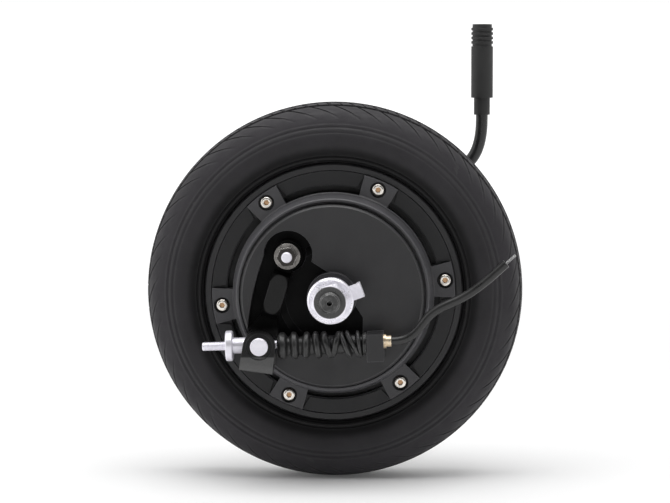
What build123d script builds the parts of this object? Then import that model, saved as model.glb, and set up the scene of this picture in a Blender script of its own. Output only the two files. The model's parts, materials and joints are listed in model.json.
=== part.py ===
"""Front hub motor wheel of an electric scooter, with a cable-pulled drum brake.

The axle lies along Y. +Z is up and -X is the scooter's forward direction.
The drum brake is on the -Y side, and the motor cable leaves the axle on the +Y side.
Every size is in millimetres. A "view angle" runs from +X towards +Z, as seen from the -Y side.
The pieces are drawn round the wheel's centre. Each is raised by AXLE_HEIGHT as it is written,
so that the wheel stands on z = 0.
"""

import os
from math import atan2, cos, degrees, hypot, radians, sin

from build123d import *

# ---------------------------------------------------------------- driving dimensions
TYRE_R = 108.0  # 8.5 inch pneumatic tyre
AXLE_HEIGHT = TYRE_R
TYRE_HALF_WIDTH = 25.0
TYRE_WALL_INSET = 0.35  # space between the tyre and its tube
TUBE_WALL = 1.4
TREAD_GROOVES = ((4.0, 2.4), (12.0, 3.2))  # distance from the middle plane and depth
TREAD_GROOVE_WIDTH = 2.2

RIM_BED_R = 67.2  # 134 mm bead seat
RIM_LIP_R = 74.0
RIM_HALF_WIDTH = 20.5  # outer faces of the rim's lips
BEAD_FACE_Y = 15.5  # inside faces of the rim's flanges
SHELL_END_Y = 17.0  # machined seats for the two covers
CAVITY_R = 57.0  # inside of the motor shell

COVER_R = 69.6
COVER_RECESS_R = 70.0
COVER_BOSS_Y = 23.0  # outer face of the screw bosses
COVER_PANEL_Y = 20.3  # sunk panels between the bosses
COVER_CHAMFER = 0.5
COVER_STEP_Y = 19.2  # step along a panel's inner side and ends
COVER_STEP_R = (57.6, 61.6)
COVER_SLOT_R = 60.9  # outside of the slot cast along a panel's inner side
BRAKE_SIDE_SLOT_Y = 13.5
CABLE_SIDE_SLOT_Y = 18.6
CHANNEL_R = 61.9  # channel in the shell that makes room for the brake side's slots
CHANNEL_Y = 11.0
BOSS_HALF_ANGLE = 8.6
SPIGOT_GAP = 0.1

SCREW_COUNT = 6
SCREW_CIRCLE_R = 64.1
SCREW_FIRST_ANGLE = 6.65  # view angle of the first cover screw
SCREW_R = 2.0  # M4
SCREW_CORE_R = 1.65
SCREW_HEAD_R = 3.5
SCREW_HEAD_HEIGHT = 2.6
SCREW_SOCKET = 2.9  # across the flats of its hexagon
SCREW_LENGTH = 12.0
SCREW_SINK_R = 4.6
SCREW_SINK_DEPTH = 2.4

VALVE_ANGLE = 216.65
VALVE_Y = 7.0
VALVE_STEM_R = 3.3
VALVE_LEG_R = 62.2  # radius at which the bent stem runs parallel to the axle
VALVE_TIP_Y = 27.0

DRUM_R = 45.0  # 90 mm brake drum
LINER_THICKNESS = 3.0
DRUM_LIP_Y = -36.0
DRUM_WEB_Y = (-13.5, -9.5)  # outer and inner face of the cover's web
PLATE_R = 52.0
PLATE_FACE_Y = -43.5
PLATE_INNER_Y = -34.5
POCKET_FLOOR_Y = -37.5
PLATE_HUB_R = 14.0
PLATE_HUB_Y = -48.0

CAM = (-24.9, 23.5)  # x, z of the brake cam
CAM_BORE_R = 4.5
CAM_SIZE = (10.0, 8.0)
ANCHOR_R = 4.0
TRUNNION = (-40.1, -26.2)  # x, z of the clevis pin at the end of the brake arm
TRUNNION_R = 5.0
ARM_HUB_R = 8.6
CLEVIS_R = 9.1
CLEVIS_ANGLE = -98.0  # view angle in which the clevis points, a little off the arm's own direction
CABLE_Y = -55.5  # depth of the cable line
CABLE_SLOPE = 2.0  # degrees the cable line climbs towards +X
ROD_R = 2.3  # mean radius of the M5 rod's thread
STOP_DISTANCE = 64.8  # along the cable line, from the trunnion to the middle of the cable post
POST_SIZE = (9.4, 13.0, 15.4)  # along the line, along Y, across
POST_DROP = 3.1  # how far the middle of the post is below the cable line

AXLE_END_Y = 80.0
DROPOUT_Y = 54.0  # shoulders that the fork's dropouts bear on
DROPOUT_THICKNESS = 10.0
AXLE_R = 6.0  # M12 ends
AXLE_THREAD_R = 5.7  # mean radius of the M12 thread outside the dropouts
AXLE_HALF_FLAT = 5.0  # half of the 10 mm across the dropout flats
CENTRE_HOLE_R = 1.5  # turning centres in the axle's ends
CENTRE_HOLE_DEPTH = 7.0
BRAKE_SEAT_R = 7.5
BRAKE_SEAT_Y = -30.0
BRAKE_BEARING_R = (8.5, 17.5)  # 17 x 35 x 10 bearing
BRAKE_BEARING_Y = (-20.0, -10.0)
BRAKE_BALLS = (2.38, 10)  # radius and number
CABLE_BEARING_R = (10.0, 21.0)  # 20 x 42 x 12 bearing
CABLE_BEARING_Y = (18.0, 30.0)
CABLE_BALLS = (3.17, 9)
SEAL_Y = (30.0, 34.0)
MIDDLE_R = 11.0
KEY_SIZE = (4.0, 9.0, 3.0)

CABLE_R = 3.5
CABLE_CENTRE_Z = 6.3  # height of the motor cable in the axle's slot
SLOT_Y = (10.0, 50.2)
CONNECTOR_AT = (84.5, 50.0)  # x and y of the upright connector
CONNECTOR_Z = (108.0, 151.0)
CONNECTOR_R = 6.4

STATOR_R = 50.4
STATOR_Y = (-4.0, 12.0)
STATOR_BORE_R = 30.0
TEETH = 27
MAGNETS = 30
MAGNET_R = (51.0, 53.6)

THREAD_GAP = 0.05  # plain cylinders stand for threads, this far apart
RUN_GAP = 0.05  # radial clearance of balls and pins that turn

parts = {}


# ---------------------------------------------------------------- helpers
def turned(*points):
    """Solid of revolution about the axle from (radius, y) corners."""
    return revolve(make_face(Polyline(*points, close=True)), Axis.Y)


def ring(r_in, r_out, y0, y1):
    return turned((r_in, y0), (r_out, y0), (r_out, y1), (r_in, y1))


def slab(sketch, y0, y1):
    """Extrudes a sketch, drawn in x and z as seen from the -Y side, between two depths."""
    return extrude(Plane.XZ.offset(-y1) * sketch, y1 - y0)


def pin(radius, y0, y1, at=(0, 0)):
    """Cylinder along Y, centred on x, z."""
    return slab(Pos(*at) * Circle(radius), y0, y1)


def tube(r_in, r_out, y0, y1, at):
    """Hollow cylinder along Y, centred on x, z."""
    return slab(Pos(*at) * (Circle(r_out) - Circle(r_in)), y0, y1)


def spin(angle):
    """Turns a solid about the axle by a view angle."""
    return Rot(0, -angle, 0)


def around(solid, count, first=0.0):
    return [spin(first + 360 / count * i) * solid for i in range(count)]


def other_side(solid):
    return mirror(solid, Plane.XZ)


def polar(radius, angle):
    return (radius * cos(radians(angle)), radius * sin(radians(angle)))


def cut(body, tools):
    """Cuts a list of solids from a body in one step."""
    return body - Compound(children=list(tools))


def arc_band(r_in, r_out, start, end):
    """Sketch of an annular sector between two view angles."""
    middle = (start + end) / 2
    outer = ThreePointArc(polar(r_out, start), polar(r_out, middle), polar(r_out, end))
    inner = ThreePointArc(polar(r_in, end), polar(r_in, middle), polar(r_in, start))
    sides = Line(outer @ 1, inner @ 0) + Line(inner @ 1, outer @ 0)
    return make_face(outer + inner + sides)


def polygon(*points):
    return make_face(Polyline(*points, close=True))


def round_edges(solid, side):
    """Circular edges of a solid at its lowest (0) or highest (-1) place along Y."""
    return solid.edges().filter_by(GeomType.CIRCLE).group_by(Axis.Y)[side]


def swept(radius, path):
    """Round bar along a path."""
    return sweep(Plane(path @ 0, z_dir=path % 0) * Circle(radius), path)


def spring(wire_r, coil_r, pitch, height):
    """Helical spring along Z, from z = 0."""
    coil = Helix(pitch=pitch, height=height, radius=coil_r)
    return sweep(Plane(coil @ 0, z_dir=coil % 0) * Circle(wire_r), coil, is_frenet=True)


def cable_plane(distance):
    """Plane across the cable line at a distance from the trunnion; its normal points towards +X."""
    run = polar(1, CABLE_SLOPE)
    origin = (TRUNNION[0] + distance * run[0], CABLE_Y, TRUNNION[1] + distance * run[1])
    return Plane(origin, x_dir=(0, 1, 0), z_dir=(run[0], 0, run[1]))


def cable_pin(radius, start, end):
    """Cylinder on the cable line between two distances from the trunnion."""
    return extrude(cable_plane(start) * Circle(radius), end - start)


def keep(name, *solids):
    parts[name] = solids[0] if len(solids) == 1 else Compound(children=list(solids))


# ---------------------------------------------------------------- tyre, tube and valve
CAVITY_MIDDLE = (85.0, 0.0)
CAVITY_HALF = (
    (67.5, 11.5),
    (72.0, 12.6),
    (78.0, 17.4),
    (84.0, 19.9),
    (90.0, 20.5),
    (96.0, 19.0),
    (100.3, 14.8),
    (102.0, 8.0),
)
CAVITY_CROWN_R = 102.4
SIDEWALL_HALF = (
    (74.8, 20.8),
    (76.6, 22.2),
    (78.4, 22.4),
    (84.0, 24.3),
    (90.0, TYRE_HALF_WIDTH),
    (95.5, 24.3),
    (99.8, 22.6),
    (103.6, 19.6),
    (106.3, 13.4),
    (107.6, 7.0),
)
BEAD_HALF = ((67.5, 11.5), (67.5, 14.0), (69.3, 15.4), (73.6, 15.4), (74.8, 20.8))


def both_sides(half, crown_r):
    """Mirrors a half outline of (radius, y) points through y = 0."""
    return [(r, -y) for r, y in half] + [(crown_r, 0.0)] + [(r, y) for r, y in reversed(half)]


def cavity_outline(inset):
    """Outline of the space inside the tyre, drawn in by a distance towards its middle."""
    moved = []
    for r, y in both_sides(CAVITY_HALF, CAVITY_CROWN_R):
        dr, dy = CAVITY_MIDDLE[0] - r, CAVITY_MIDDLE[1] - y
        share = inset / hypot(dr, dy)
        moved.append((r + dr * share, y + dy * share))
    return moved


def cavity_solid(inset):
    points = cavity_outline(inset)
    return revolve(make_face(Spline(*points) + Line(points[-1], points[0])), Axis.Y)


def make_tyre():
    skin = Spline(*both_sides(SIDEWALL_HALF, TYRE_R)) + Spline(*cavity_outline(0))
    beads = Polyline(*BEAD_HALF) + Polyline(*[(r, -y) for r, y in BEAD_HALF])
    body = revolve(make_face(skin + beads), Axis.Y)
    half_width = TREAD_GROOVE_WIDTH / 2
    for distance, depth in TREAD_GROOVES:
        for y in (-distance, distance):
            body -= ring(TYRE_R - 0.4 - depth, TYRE_R + 1, y - half_width, y + half_width)
    keep("tyre", body)
    keep("inner_tube", cavity_solid(TYRE_WALL_INSET) - cavity_solid(TYRE_WALL_INSET + TUBE_WALL))


def make_valve():
    """Bent valve: a leg from the tube towards the axle, then one parallel to the axle, with its cap."""
    turn_r = VALVE_STEM_R + 1.4
    corner = (VALVE_LEG_R + turn_r, VALVE_Y, 0)
    after = (VALVE_LEG_R, VALVE_Y + turn_r, 0)
    path = Line((RIM_BED_R + 0.2, VALVE_Y, 0), corner)
    path += TangentArc(corner, after, tangent=(-1, 0, 0))
    path += Line(after, (VALVE_LEG_R, VALVE_TIP_Y, 0))
    keep("valve_stem", spin(VALVE_ANGLE) * swept(VALVE_STEM_R, path))
    leg = polar(VALVE_LEG_R, VALVE_ANGLE)
    cap = pin(VALVE_STEM_R + 1.0, VALVE_TIP_Y - 3.4, VALVE_TIP_Y + 4, leg)
    keep("valve_cap", cap - pin(VALVE_STEM_R + THREAD_GAP, 0, VALVE_TIP_Y + 1, leg))


# ---------------------------------------------------------------- rim shell and rotor
def valve_box(half_width, reach_in, reach_out):
    """Sketch of a box on the valve's radius, reaching in and out from the leg's radius."""
    box = Pos(VALVE_LEG_R + (reach_out - reach_in) / 2, 0) * Rectangle(reach_in + reach_out, 2 * half_width)
    return Rot(0, 0, VALVE_ANGLE) * box


def make_rim_shell():
    half = (
        (CAVITY_R, 0),
        (CAVITY_R, SHELL_END_Y),
        (COVER_RECESS_R, SHELL_END_Y),
        (COVER_RECESS_R, RIM_HALF_WIDTH),
        (RIM_LIP_R - 1, RIM_HALF_WIDTH),
        (RIM_LIP_R, RIM_HALF_WIDTH - 1.1),
        (RIM_LIP_R, BEAD_FACE_Y + 1.9),
        (RIM_LIP_R - 1, BEAD_FACE_Y),
        (RIM_BED_R + 1.8, BEAD_FACE_Y),
        (RIM_BED_R, BEAD_FACE_Y - 1.1),
        (RIM_BED_R, 0),
    )
    body = turned(*half, *[(r, -y) for r, y in reversed(half[1:-1])])
    body -= ring(CAVITY_R - 1, CHANNEL_R, -SHELL_END_Y - 1, -CHANNEL_Y)
    hole = pin(SCREW_CORE_R, -SHELL_END_Y, -SHELL_END_Y + SCREW_LENGTH - 1, (SCREW_CIRCLE_R, 0))
    body = cut(body, around(hole, SCREW_COUNT, SCREW_FIRST_ANGLE))
    body = cut(body, around(other_side(hole), SCREW_COUNT, SCREW_FIRST_ANGLE))
    room = VALVE_STEM_R + 0.5
    body -= slab(valve_box(VALVE_STEM_R + 2.4, room, room), 1.0, RIM_HALF_WIDTH)
    neck = Pos(VALVE_LEG_R + 5, VALVE_Y, 0) * Rot(0, 90, 0) * Cylinder(VALVE_STEM_R + 0.4, 12)
    keep("rim_shell", body - spin(VALVE_ANGLE) * neck)


def make_rotor():
    y0, y1 = STATOR_Y[0] - 1, STATOR_Y[1] + 1
    keep("rotor_yoke", ring(MAGNET_R[1], CAVITY_R, y0, y1))
    half_angle = 180 / MAGNETS - 0.6
    magnet = slab(arc_band(*MAGNET_R, -half_angle, half_angle), y0 + 0.5, y1 - 0.5)
    keep("rotor_magnets", *around(magnet, MAGNETS))


# ---------------------------------------------------------------- covers
def cover_pockets(slot_y):
    """The sunk panels between the screw bosses, drawn for the brake side's cover."""
    middle = SCREW_FIRST_ANGLE + 180 / SCREW_COUNT
    half = 180 / SCREW_COUNT - BOSS_HALF_ANGLE
    front = -COVER_BOSS_Y - 1
    r_in, r_out = COVER_STEP_R
    tools = []
    for radius, y in ((COVER_RECESS_R + 2, COVER_PANEL_Y), (r_out, COVER_STEP_Y), (COVER_SLOT_R, slot_y)):
        tools.append(slab(arc_band(r_in, radius, middle - half, middle + half), front, -y))
    for sign in (-1, 1):
        edge, inner = middle + sign * half, middle + sign * (half - 2.4)
        wedge = polygon(polar(r_out - 1, edge), polar(COVER_R - 0.6, edge), polar(r_out - 1, inner))
        tools.append(slab(wedge, front, -COVER_STEP_Y))
    return around(Compound(children=tools), SCREW_COUNT)


def screw_seats():
    """Clearance holes and counterbores for the cover screws, drawn for the brake side."""
    at = (SCREW_CIRCLE_R, 0)
    seat = pin(SCREW_R + 0.2, -COVER_BOSS_Y - 1, -SHELL_END_Y + 1, at)
    seat += pin(SCREW_SINK_R, -COVER_BOSS_Y - 1, -COVER_BOSS_Y + SCREW_SINK_DEPTH, at)
    return around(seat, SCREW_COUNT, SCREW_FIRST_ANGLE)


def cover_screws():
    """Button-head socket screws, drawn for the brake side."""
    under_head = -COVER_BOSS_Y + SCREW_SINK_DEPTH
    at = (SCREW_CIRCLE_R, 0)
    head = pin(SCREW_HEAD_R, under_head - SCREW_HEAD_HEIGHT, under_head, at)
    head = fillet(round_edges(head, 0), 1.2)
    hexagon = Pos(*at) * RegularPolygon(SCREW_SOCKET / 2, 6, major_radius=False)
    socket = slab(hexagon, under_head - SCREW_HEAD_HEIGHT, under_head - 0.9)
    shank = pin(SCREW_CORE_R - THREAD_GAP, under_head, under_head + SCREW_LENGTH, at)
    return around(head - socket + shank, SCREW_COUNT, SCREW_FIRST_ANGLE)


def make_brake_side_cover():
    """Cover with the screw flange, the conical drum wall and the brake side's bearing seat."""
    liner_r = DRUM_R + LINER_THICKNESS
    seat_r = BRAKE_BEARING_R[1]
    boss_r = seat_r + 5
    step_y = PLATE_INNER_Y + 1
    body = turned(
        (seat_r, DRUM_WEB_Y[1]),
        (CAVITY_R - SPIGOT_GAP, DRUM_WEB_Y[1]),
        (CAVITY_R - SPIGOT_GAP, -CHANNEL_Y - SPIGOT_GAP),
        (CHANNEL_R - SPIGOT_GAP, -CHANNEL_Y - SPIGOT_GAP),
        (CHANNEL_R - SPIGOT_GAP, -SHELL_END_Y),
        (COVER_R, -SHELL_END_Y),
        (COVER_R, -COVER_BOSS_Y + COVER_CHAMFER),
        (COVER_R - COVER_CHAMFER, -COVER_BOSS_Y),
        (57.9, -COVER_BOSS_Y),
        (57.0, -COVER_BOSS_Y - 0.9),
        (55.0, DRUM_LIP_Y + 0.6),
        (54.4, DRUM_LIP_Y),
        (PLATE_R + 1.2, DRUM_LIP_Y),
        (PLATE_R + 1.2, step_y),
        (liner_r, step_y),
        (liner_r, DRUM_WEB_Y[0]),
        (boss_r, DRUM_WEB_Y[0]),
        (boss_r, BRAKE_BEARING_Y[0] - 1.5),
        (seat_r - 1.5, BRAKE_BEARING_Y[0] - 1.5),
        (seat_r - 1.5, BRAKE_BEARING_Y[0]),
        (seat_r, BRAKE_BEARING_Y[0]),
    )
    keep("brake_side_cover", cut(cut(body, cover_pockets(BRAKE_SIDE_SLOT_Y)), screw_seats()))
    keep("brake_drum_liner", ring(DRUM_R, liner_r, step_y, DRUM_WEB_Y[0]))
    keep("brake_side_cover_screws", *cover_screws())


def make_cable_side_cover():
    """Flat cover with the same screws, a raised bearing boss, ribs and a notch for the valve."""
    seat_r = CABLE_BEARING_R[1]
    dish_y = COVER_BOSS_Y - 1.4
    dish_r = (32.0, 51.5)
    body = turned(
        (seat_r, SHELL_END_Y),
        (COVER_R, SHELL_END_Y),
        (COVER_R, COVER_BOSS_Y - COVER_CHAMFER),
        (COVER_R - COVER_CHAMFER, COVER_BOSS_Y),
        (dish_r[1] + 2.5, COVER_BOSS_Y),
        (dish_r[1], dish_y),
        (dish_r[0], dish_y),
        (seat_r + 6.5, 25.0),
        (seat_r + 5.5, SEAL_Y[1]),
        (seat_r, SEAL_Y[1]),
    )
    body += ring(CAVITY_R - 3, CAVITY_R - SPIGOT_GAP, SHELL_END_Y - 2, SHELL_END_Y)
    rib = slab(arc_band(dish_r[0] - 4, dish_r[1] + 2.5, -1.6, 1.6), dish_y - 0.2, dish_y + 1.2)
    body += around(rib, 2 * SCREW_COUNT, SCREW_FIRST_ANGLE + 15)
    body = cut(body, [other_side(tool) for tool in cover_pockets(CABLE_SIDE_SLOT_Y)])
    body = cut(body, [other_side(tool) for tool in screw_seats()])
    body -= slab(valve_box(VALVE_STEM_R + 2.5, VALVE_STEM_R + 1.1, 12), SHELL_END_Y - 0.5, COVER_BOSS_Y + 1)
    keep("cable_side_cover", body)
    keep("cable_side_cover_screws", *[other_side(screw) for screw in cover_screws()])
    keep("cable_side_oil_seal", ring(CABLE_BEARING_R[0] + 0.1, seat_r, SEAL_Y[0], SEAL_Y[1] - 0.6))


# ---------------------------------------------------------------- bearings
def make_bearing(name, radii, ys, ball_r, balls):
    """Deep-groove ball bearing in four nodes: two races, the balls and their cage."""
    pitch_r = (radii[0] + radii[1]) / 2
    middle_y = (ys[0] + ys[1]) / 2
    groove = Pos(0, middle_y, 0) * Rot(90, 0, 0) * Torus(pitch_r, ball_r + RUN_GAP)
    shoulder = ball_r * 0.72
    keep(f"{name}_bearing_inner_race", ring(radii[0], pitch_r - shoulder, *ys) - groove)
    keep(f"{name}_bearing_outer_race", ring(pitch_r + shoulder, radii[1], *ys) - groove)
    ball = Pos(pitch_r, middle_y, 0) * Sphere(ball_r)
    pocket = Pos(pitch_r, middle_y, 0) * Rot(0, 90, 0) * Cylinder(ball_r + RUN_GAP, 4)
    cage = ring(pitch_r - 0.8, pitch_r + 0.8, middle_y - ball_r - 1, middle_y + ball_r + 1)
    keep(f"{name}_bearing_balls", *around(ball, balls))
    keep(f"{name}_bearing_cage", cut(cage, around(pocket, balls)))


# ---------------------------------------------------------------- axle and stator
def make_axle():
    dropout_end = DROPOUT_Y + DROPOUT_THICKNESS
    end = chamfer(round_edges(pin(AXLE_THREAD_R, -AXLE_END_Y, -dropout_end), 0), 0.9)
    end += pin(AXLE_R, -dropout_end, -DROPOUT_Y)
    body = end + other_side(end)
    body += pin(BRAKE_SEAT_R, -DROPOUT_Y, BRAKE_SEAT_Y)
    body += pin(BRAKE_BEARING_R[0], BRAKE_SEAT_Y, BRAKE_BEARING_Y[1])
    body += pin(MIDDLE_R, BRAKE_BEARING_Y[1], CABLE_BEARING_Y[0])
    body += pin(CABLE_BEARING_R[0], CABLE_BEARING_Y[0], DROPOUT_Y)
    for side in (-1, 1):
        middle = side * (DROPOUT_Y + DROPOUT_THICKNESS / 2)
        for up in (-1, 1):
            body -= Pos(0, middle, up * (AXLE_HALF_FLAT + 5)) * Box(20, DROPOUT_THICKNESS, 10)
        end_face = Pos(0, side * AXLE_END_Y, 0)
        body -= end_face * Rot(-side * 90, 0, 0) * Cone(0.5, 2.5, 3.0)
        body -= end_face * Rot(90, 0, 0) * Cylinder(CENTRE_HOLE_R, 2 * CENTRE_HOLE_DEPTH)
        flat_end = PLATE_HUB_Y - 1
        length = BRAKE_SEAT_Y - flat_end
        body -= Pos(side * (BRAKE_SEAT_R + 1), flat_end + length / 2, 0) * Box(4.0, length, 20)
    slot_floor = CABLE_CENTRE_Z - CABLE_R - 0.2
    slot = Box(2 * CABLE_R + 0.5, SLOT_Y[1] - SLOT_Y[0], 20)
    body -= Pos(0, sum(SLOT_Y) / 2, slot_floor + 10) * slot
    key = Pos(0, 1.5, -MIDDLE_R) * Box(*KEY_SIZE)
    keep("axle", body - key)
    keep("stator_key", key)


def make_stator():
    y0, y1 = STATOR_Y
    back_r, tip_r, tooth_width = 34.5, 48.2, 4.2
    half_tip = 180 / TEETH - 1.1
    tooth = Pos((back_r + tip_r) / 2, 0) * Rectangle(tip_r - back_r + 2, tooth_width)
    tip = arc_band(tip_r, STATOR_R, -half_tip, half_tip)
    turns = [Rot(0, 0, 360 / TEETH * i) for i in range(TEETH)]
    sketch = Circle(back_r) - Circle(STATOR_BORE_R)
    keep("stator_core", slab(sketch + [turn * shape for turn in turns for shape in (tooth, tip)], y0, y1))

    overhang = 4.2
    middle = Pos((back_r + tip_r) / 2, (y0 + y1) / 2, 0)
    coil = middle * Box(tip_r - back_r - 1.3, y1 - y0 + 2 * overhang, tooth_width + 3.2)
    coil = fillet(coil.edges().filter_by(Axis.X), 2.0)
    coil -= middle * Box(20, y1 - y0 + 0.1, tooth_width + 0.1)
    keep("stator_windings", *around(coil, TEETH))


def make_stator_hub():
    """Spider that carries the stator core on the axle, with the sensor board on its face."""
    rim_r, web_y = 26.0, (1.0, 7.0)
    hub = turned(
        (MIDDLE_R, -3),
        (16, -3),
        (16, web_y[0]),
        (rim_r, web_y[0]),
        (rim_r, -3),
        (STATOR_BORE_R, -3),
        (STATOR_BORE_R, 11),
        (rim_r, 11),
        (rim_r, web_y[1]),
        (16, web_y[1]),
        (16, 9.5),
        (MIDDLE_R, 9.5),
    )
    hub = cut(hub, around(pin(3.4, -4, 12, (21, 0)), SCREW_COUNT))
    keyway = Box(KEY_SIZE[0], 12.2, KEY_SIZE[2])
    keep("stator_hub", hub - Pos(0, 1.5, -MIDDLE_R) * keyway)

    board_y = (12.1, 13.7)
    keep("hall_board", slab(arc_band(17.5, 31.0, 200, 340), *board_y))
    sensor = Pos(28.6, 0) * Rectangle(3.0, 4.0)
    sensors = [slab(Rot(0, 0, angle) * sensor, board_y[1], board_y[1] + 1.5) for angle in (255, 270, 285)]
    keep("hall_sensors", *sensors)


def make_motor_cable():
    """Sheathed motor cable: out through the axle's slot, up past the tyre and into its connector."""
    bend = 10.0
    rise_y = SLOT_Y[1] - CABLE_R - 0.7
    bend_from = (0, rise_y - bend, CABLE_CENTRE_Z)
    bend_to = (0, rise_y, CABLE_CENTRE_Z + bend)
    entry = (*CONNECTOR_AT, CONNECTOR_Z[0] - 12)
    path = Line((0, 14.5, CABLE_CENTRE_Z), bend_from) + TangentArc(bend_from, bend_to, tangent=(0, 1, 0))
    path += Spline(bend_to, (13, 47.5, 42), (52, 49, 62), entry, tangents=((0, 0, 1), (0, 0, 1)))
    path += Line(entry, (*CONNECTOR_AT, CONNECTOR_Z[0]))
    keep("motor_cable", swept(CABLE_R, path))

    leads = []
    for x, end_x, end_z in ((-2.2, -21, 25), (0, 0, 32.5), (2.2, 21, 25)):
        start, end = (x, 12.2, CABLE_CENTRE_Z), (end_x, 15.2, end_z)
        tangents = ((0, 0.4, 1), (end_x - x, 0, end_z - CABLE_CENTRE_Z))
        leads.append(swept(0.9, Spline(start, (x * 1.5, 14.6, 13), end, tangents=tangents)))
    keep("phase_leads", *leads)


def upright(radius, z0, z1, at=(0, 0)):
    """Cylinder along Z on the connector's axis, or beside it."""
    return Pos(CONNECTOR_AT[0] + at[0], CONNECTOR_AT[1] + at[1], (z0 + z1) / 2) * Cylinder(radius, z1 - z0)


def make_connector():
    """Round in-line plug with a cable sleeve, a grip collar of four ribs and nine pins."""
    z0, z1 = CONNECTOR_Z
    collar = z1 - 13
    body = upright(CABLE_R + 1.2, z0 - 10, z0 + 1)
    body += upright(CONNECTOR_R, z0, collar) + upright(CONNECTOR_R - 0.7, collar, z1)
    for i in range(4):
        rib = collar + 1.6 + 2.6 * i
        body += upright(CONNECTOR_R, rib, rib + 1.5)
    body -= upright(CONNECTOR_R - 1.8, z1 - 11, z1 + 1)
    body -= upright(CABLE_R, z0 - 11, z0)
    pins = [upright(0.9, z1 - 12, z1 - 2, polar(2.9, 90 + 120 * i)) for i in range(3)]
    for i in range(3):
        pins += [upright(0.45, z1 - 12, z1 - 3, polar(2.9, 30 + 120 * i + turn)) for turn in (-14, 14)]
    keep("motor_connector", cut(body, pins))
    keep("connector_pins", *pins)


# ---------------------------------------------------------------- axle fasteners
WASHER_R = 13.0
WASHER_THICKNESS = 2.0
WASHER_TAB = (6.4, 8.4)
NUT_FLATS = 19.0
NUT_HEIGHT = 10.0
NUT_FLANGE = 2.2
SLEEVE_R = 11.5


def tab_washer(outer):
    """Washer whose bent tab hooks into the fork, drawn for the brake side."""
    washer = ring(AXLE_R + 0.3, WASHER_R, outer, outer + WASHER_THICKNESS)
    tab = Rot(0, 0, 20) * Pos(WASHER_R + 2.6, 0) * Rectangle(*WASHER_TAB)
    hook = Rot(0, 0, 20) * Pos(WASHER_R + 4.8, 0) * Rectangle(2.0, WASHER_TAB[1])
    bent = slab(hook, outer + WASHER_THICKNESS, outer + WASHER_THICKNESS + 5)
    return washer + slab(tab, outer, outer + WASHER_THICKNESS) + bent


def flange_nut(seat):
    """M12 nut with a round flange and chamfered corners, drawn for the brake side."""
    bore = AXLE_THREAD_R + THREAD_GAP
    flange_y, top = seat - NUT_FLANGE, seat - NUT_HEIGHT
    edge = WASHER_R - 1
    outline = ((bore, seat), (WASHER_R, seat), (WASHER_R, flange_y + 0.9), (edge, flange_y), (bore, flange_y))
    flange = turned(*outline)
    hexagon = Rot(0, 0, 12) * RegularPolygon(NUT_FLATS / 2, 6, major_radius=False) - Circle(bore)
    dome = turned((0, top - 1), (9.0, top), (12.2, top + 1.8), (12.2, seat), (0, seat))
    return flange + (slab(hexagon, top, flange_y) & dome)


def make_axle_fasteners():
    spacer = ring(BRAKE_SEAT_R + THREAD_GAP, SLEEVE_R, -DROPOUT_Y, PLATE_HUB_Y)
    keep("brake_side_spacer", chamfer(round_edges(spacer, 0).sort_by(SortBy.LENGTH)[-1], 0.6))
    sleeve = ring(BRAKE_BEARING_R[0] + THREAD_GAP, SLEEVE_R, BRAKE_SEAT_Y, BRAKE_BEARING_Y[0])
    keep("brake_side_sleeve", sleeve)
    washer_y = -DROPOUT_Y - DROPOUT_THICKNESS - WASHER_THICKNESS
    keep("brake_side_tab_washer", tab_washer(washer_y))
    keep("brake_side_axle_nut", flange_nut(washer_y))
    keep("cable_side_tab_washer", other_side(tab_washer(washer_y)))
    keep("cable_side_axle_nut", other_side(flange_nut(washer_y)))


# ---------------------------------------------------------------- drum brake: fixed parts
CAM_R = hypot(*CAM)
CAM_ANGLE = degrees(atan2(CAM[1], CAM[0]))
ANCHOR = (-CAM[0], -CAM[1])
CAM_POCKET_R = 13.8
PLATE_BORE_GAP = 0.05


def arm_pocket():
    """Outline, in x and z, of the sunk part of the plate that the brake arm swings in."""
    left = ThreePointArc((-34.5, 33.2), (-43.8, 6.4), (-48.0, -20.0))
    bottom = Polyline((-48.0, -20.0), (-56.0, -26.0), (-50.0, -36.0), (-36.0, -28.0), (17.5, -26.5))
    right = Polyline((17.5, -26.5), (17.5, -12.0), (4.0, 9.0), (-3.6, 14.6), (-13.0, 20.6), (-34.5, 33.2))
    return make_face(left + bottom + right) + Pos(*CAM) * Circle(CAM_POCKET_R)


def post_foot():
    """Foot of the cable post, from its block down to the plate."""
    origin = cable_plane(STOP_DISTANCE).origin
    block = Pos(0, -POST_DROP) * Rectangle(POST_SIZE[0], POST_SIZE[2])
    sketch = Pos(origin.X, origin.Z) * Rot(0, 0, CABLE_SLOPE) * block
    return slab(sketch, CABLE_Y, PLATE_FACE_Y + 1)


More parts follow.
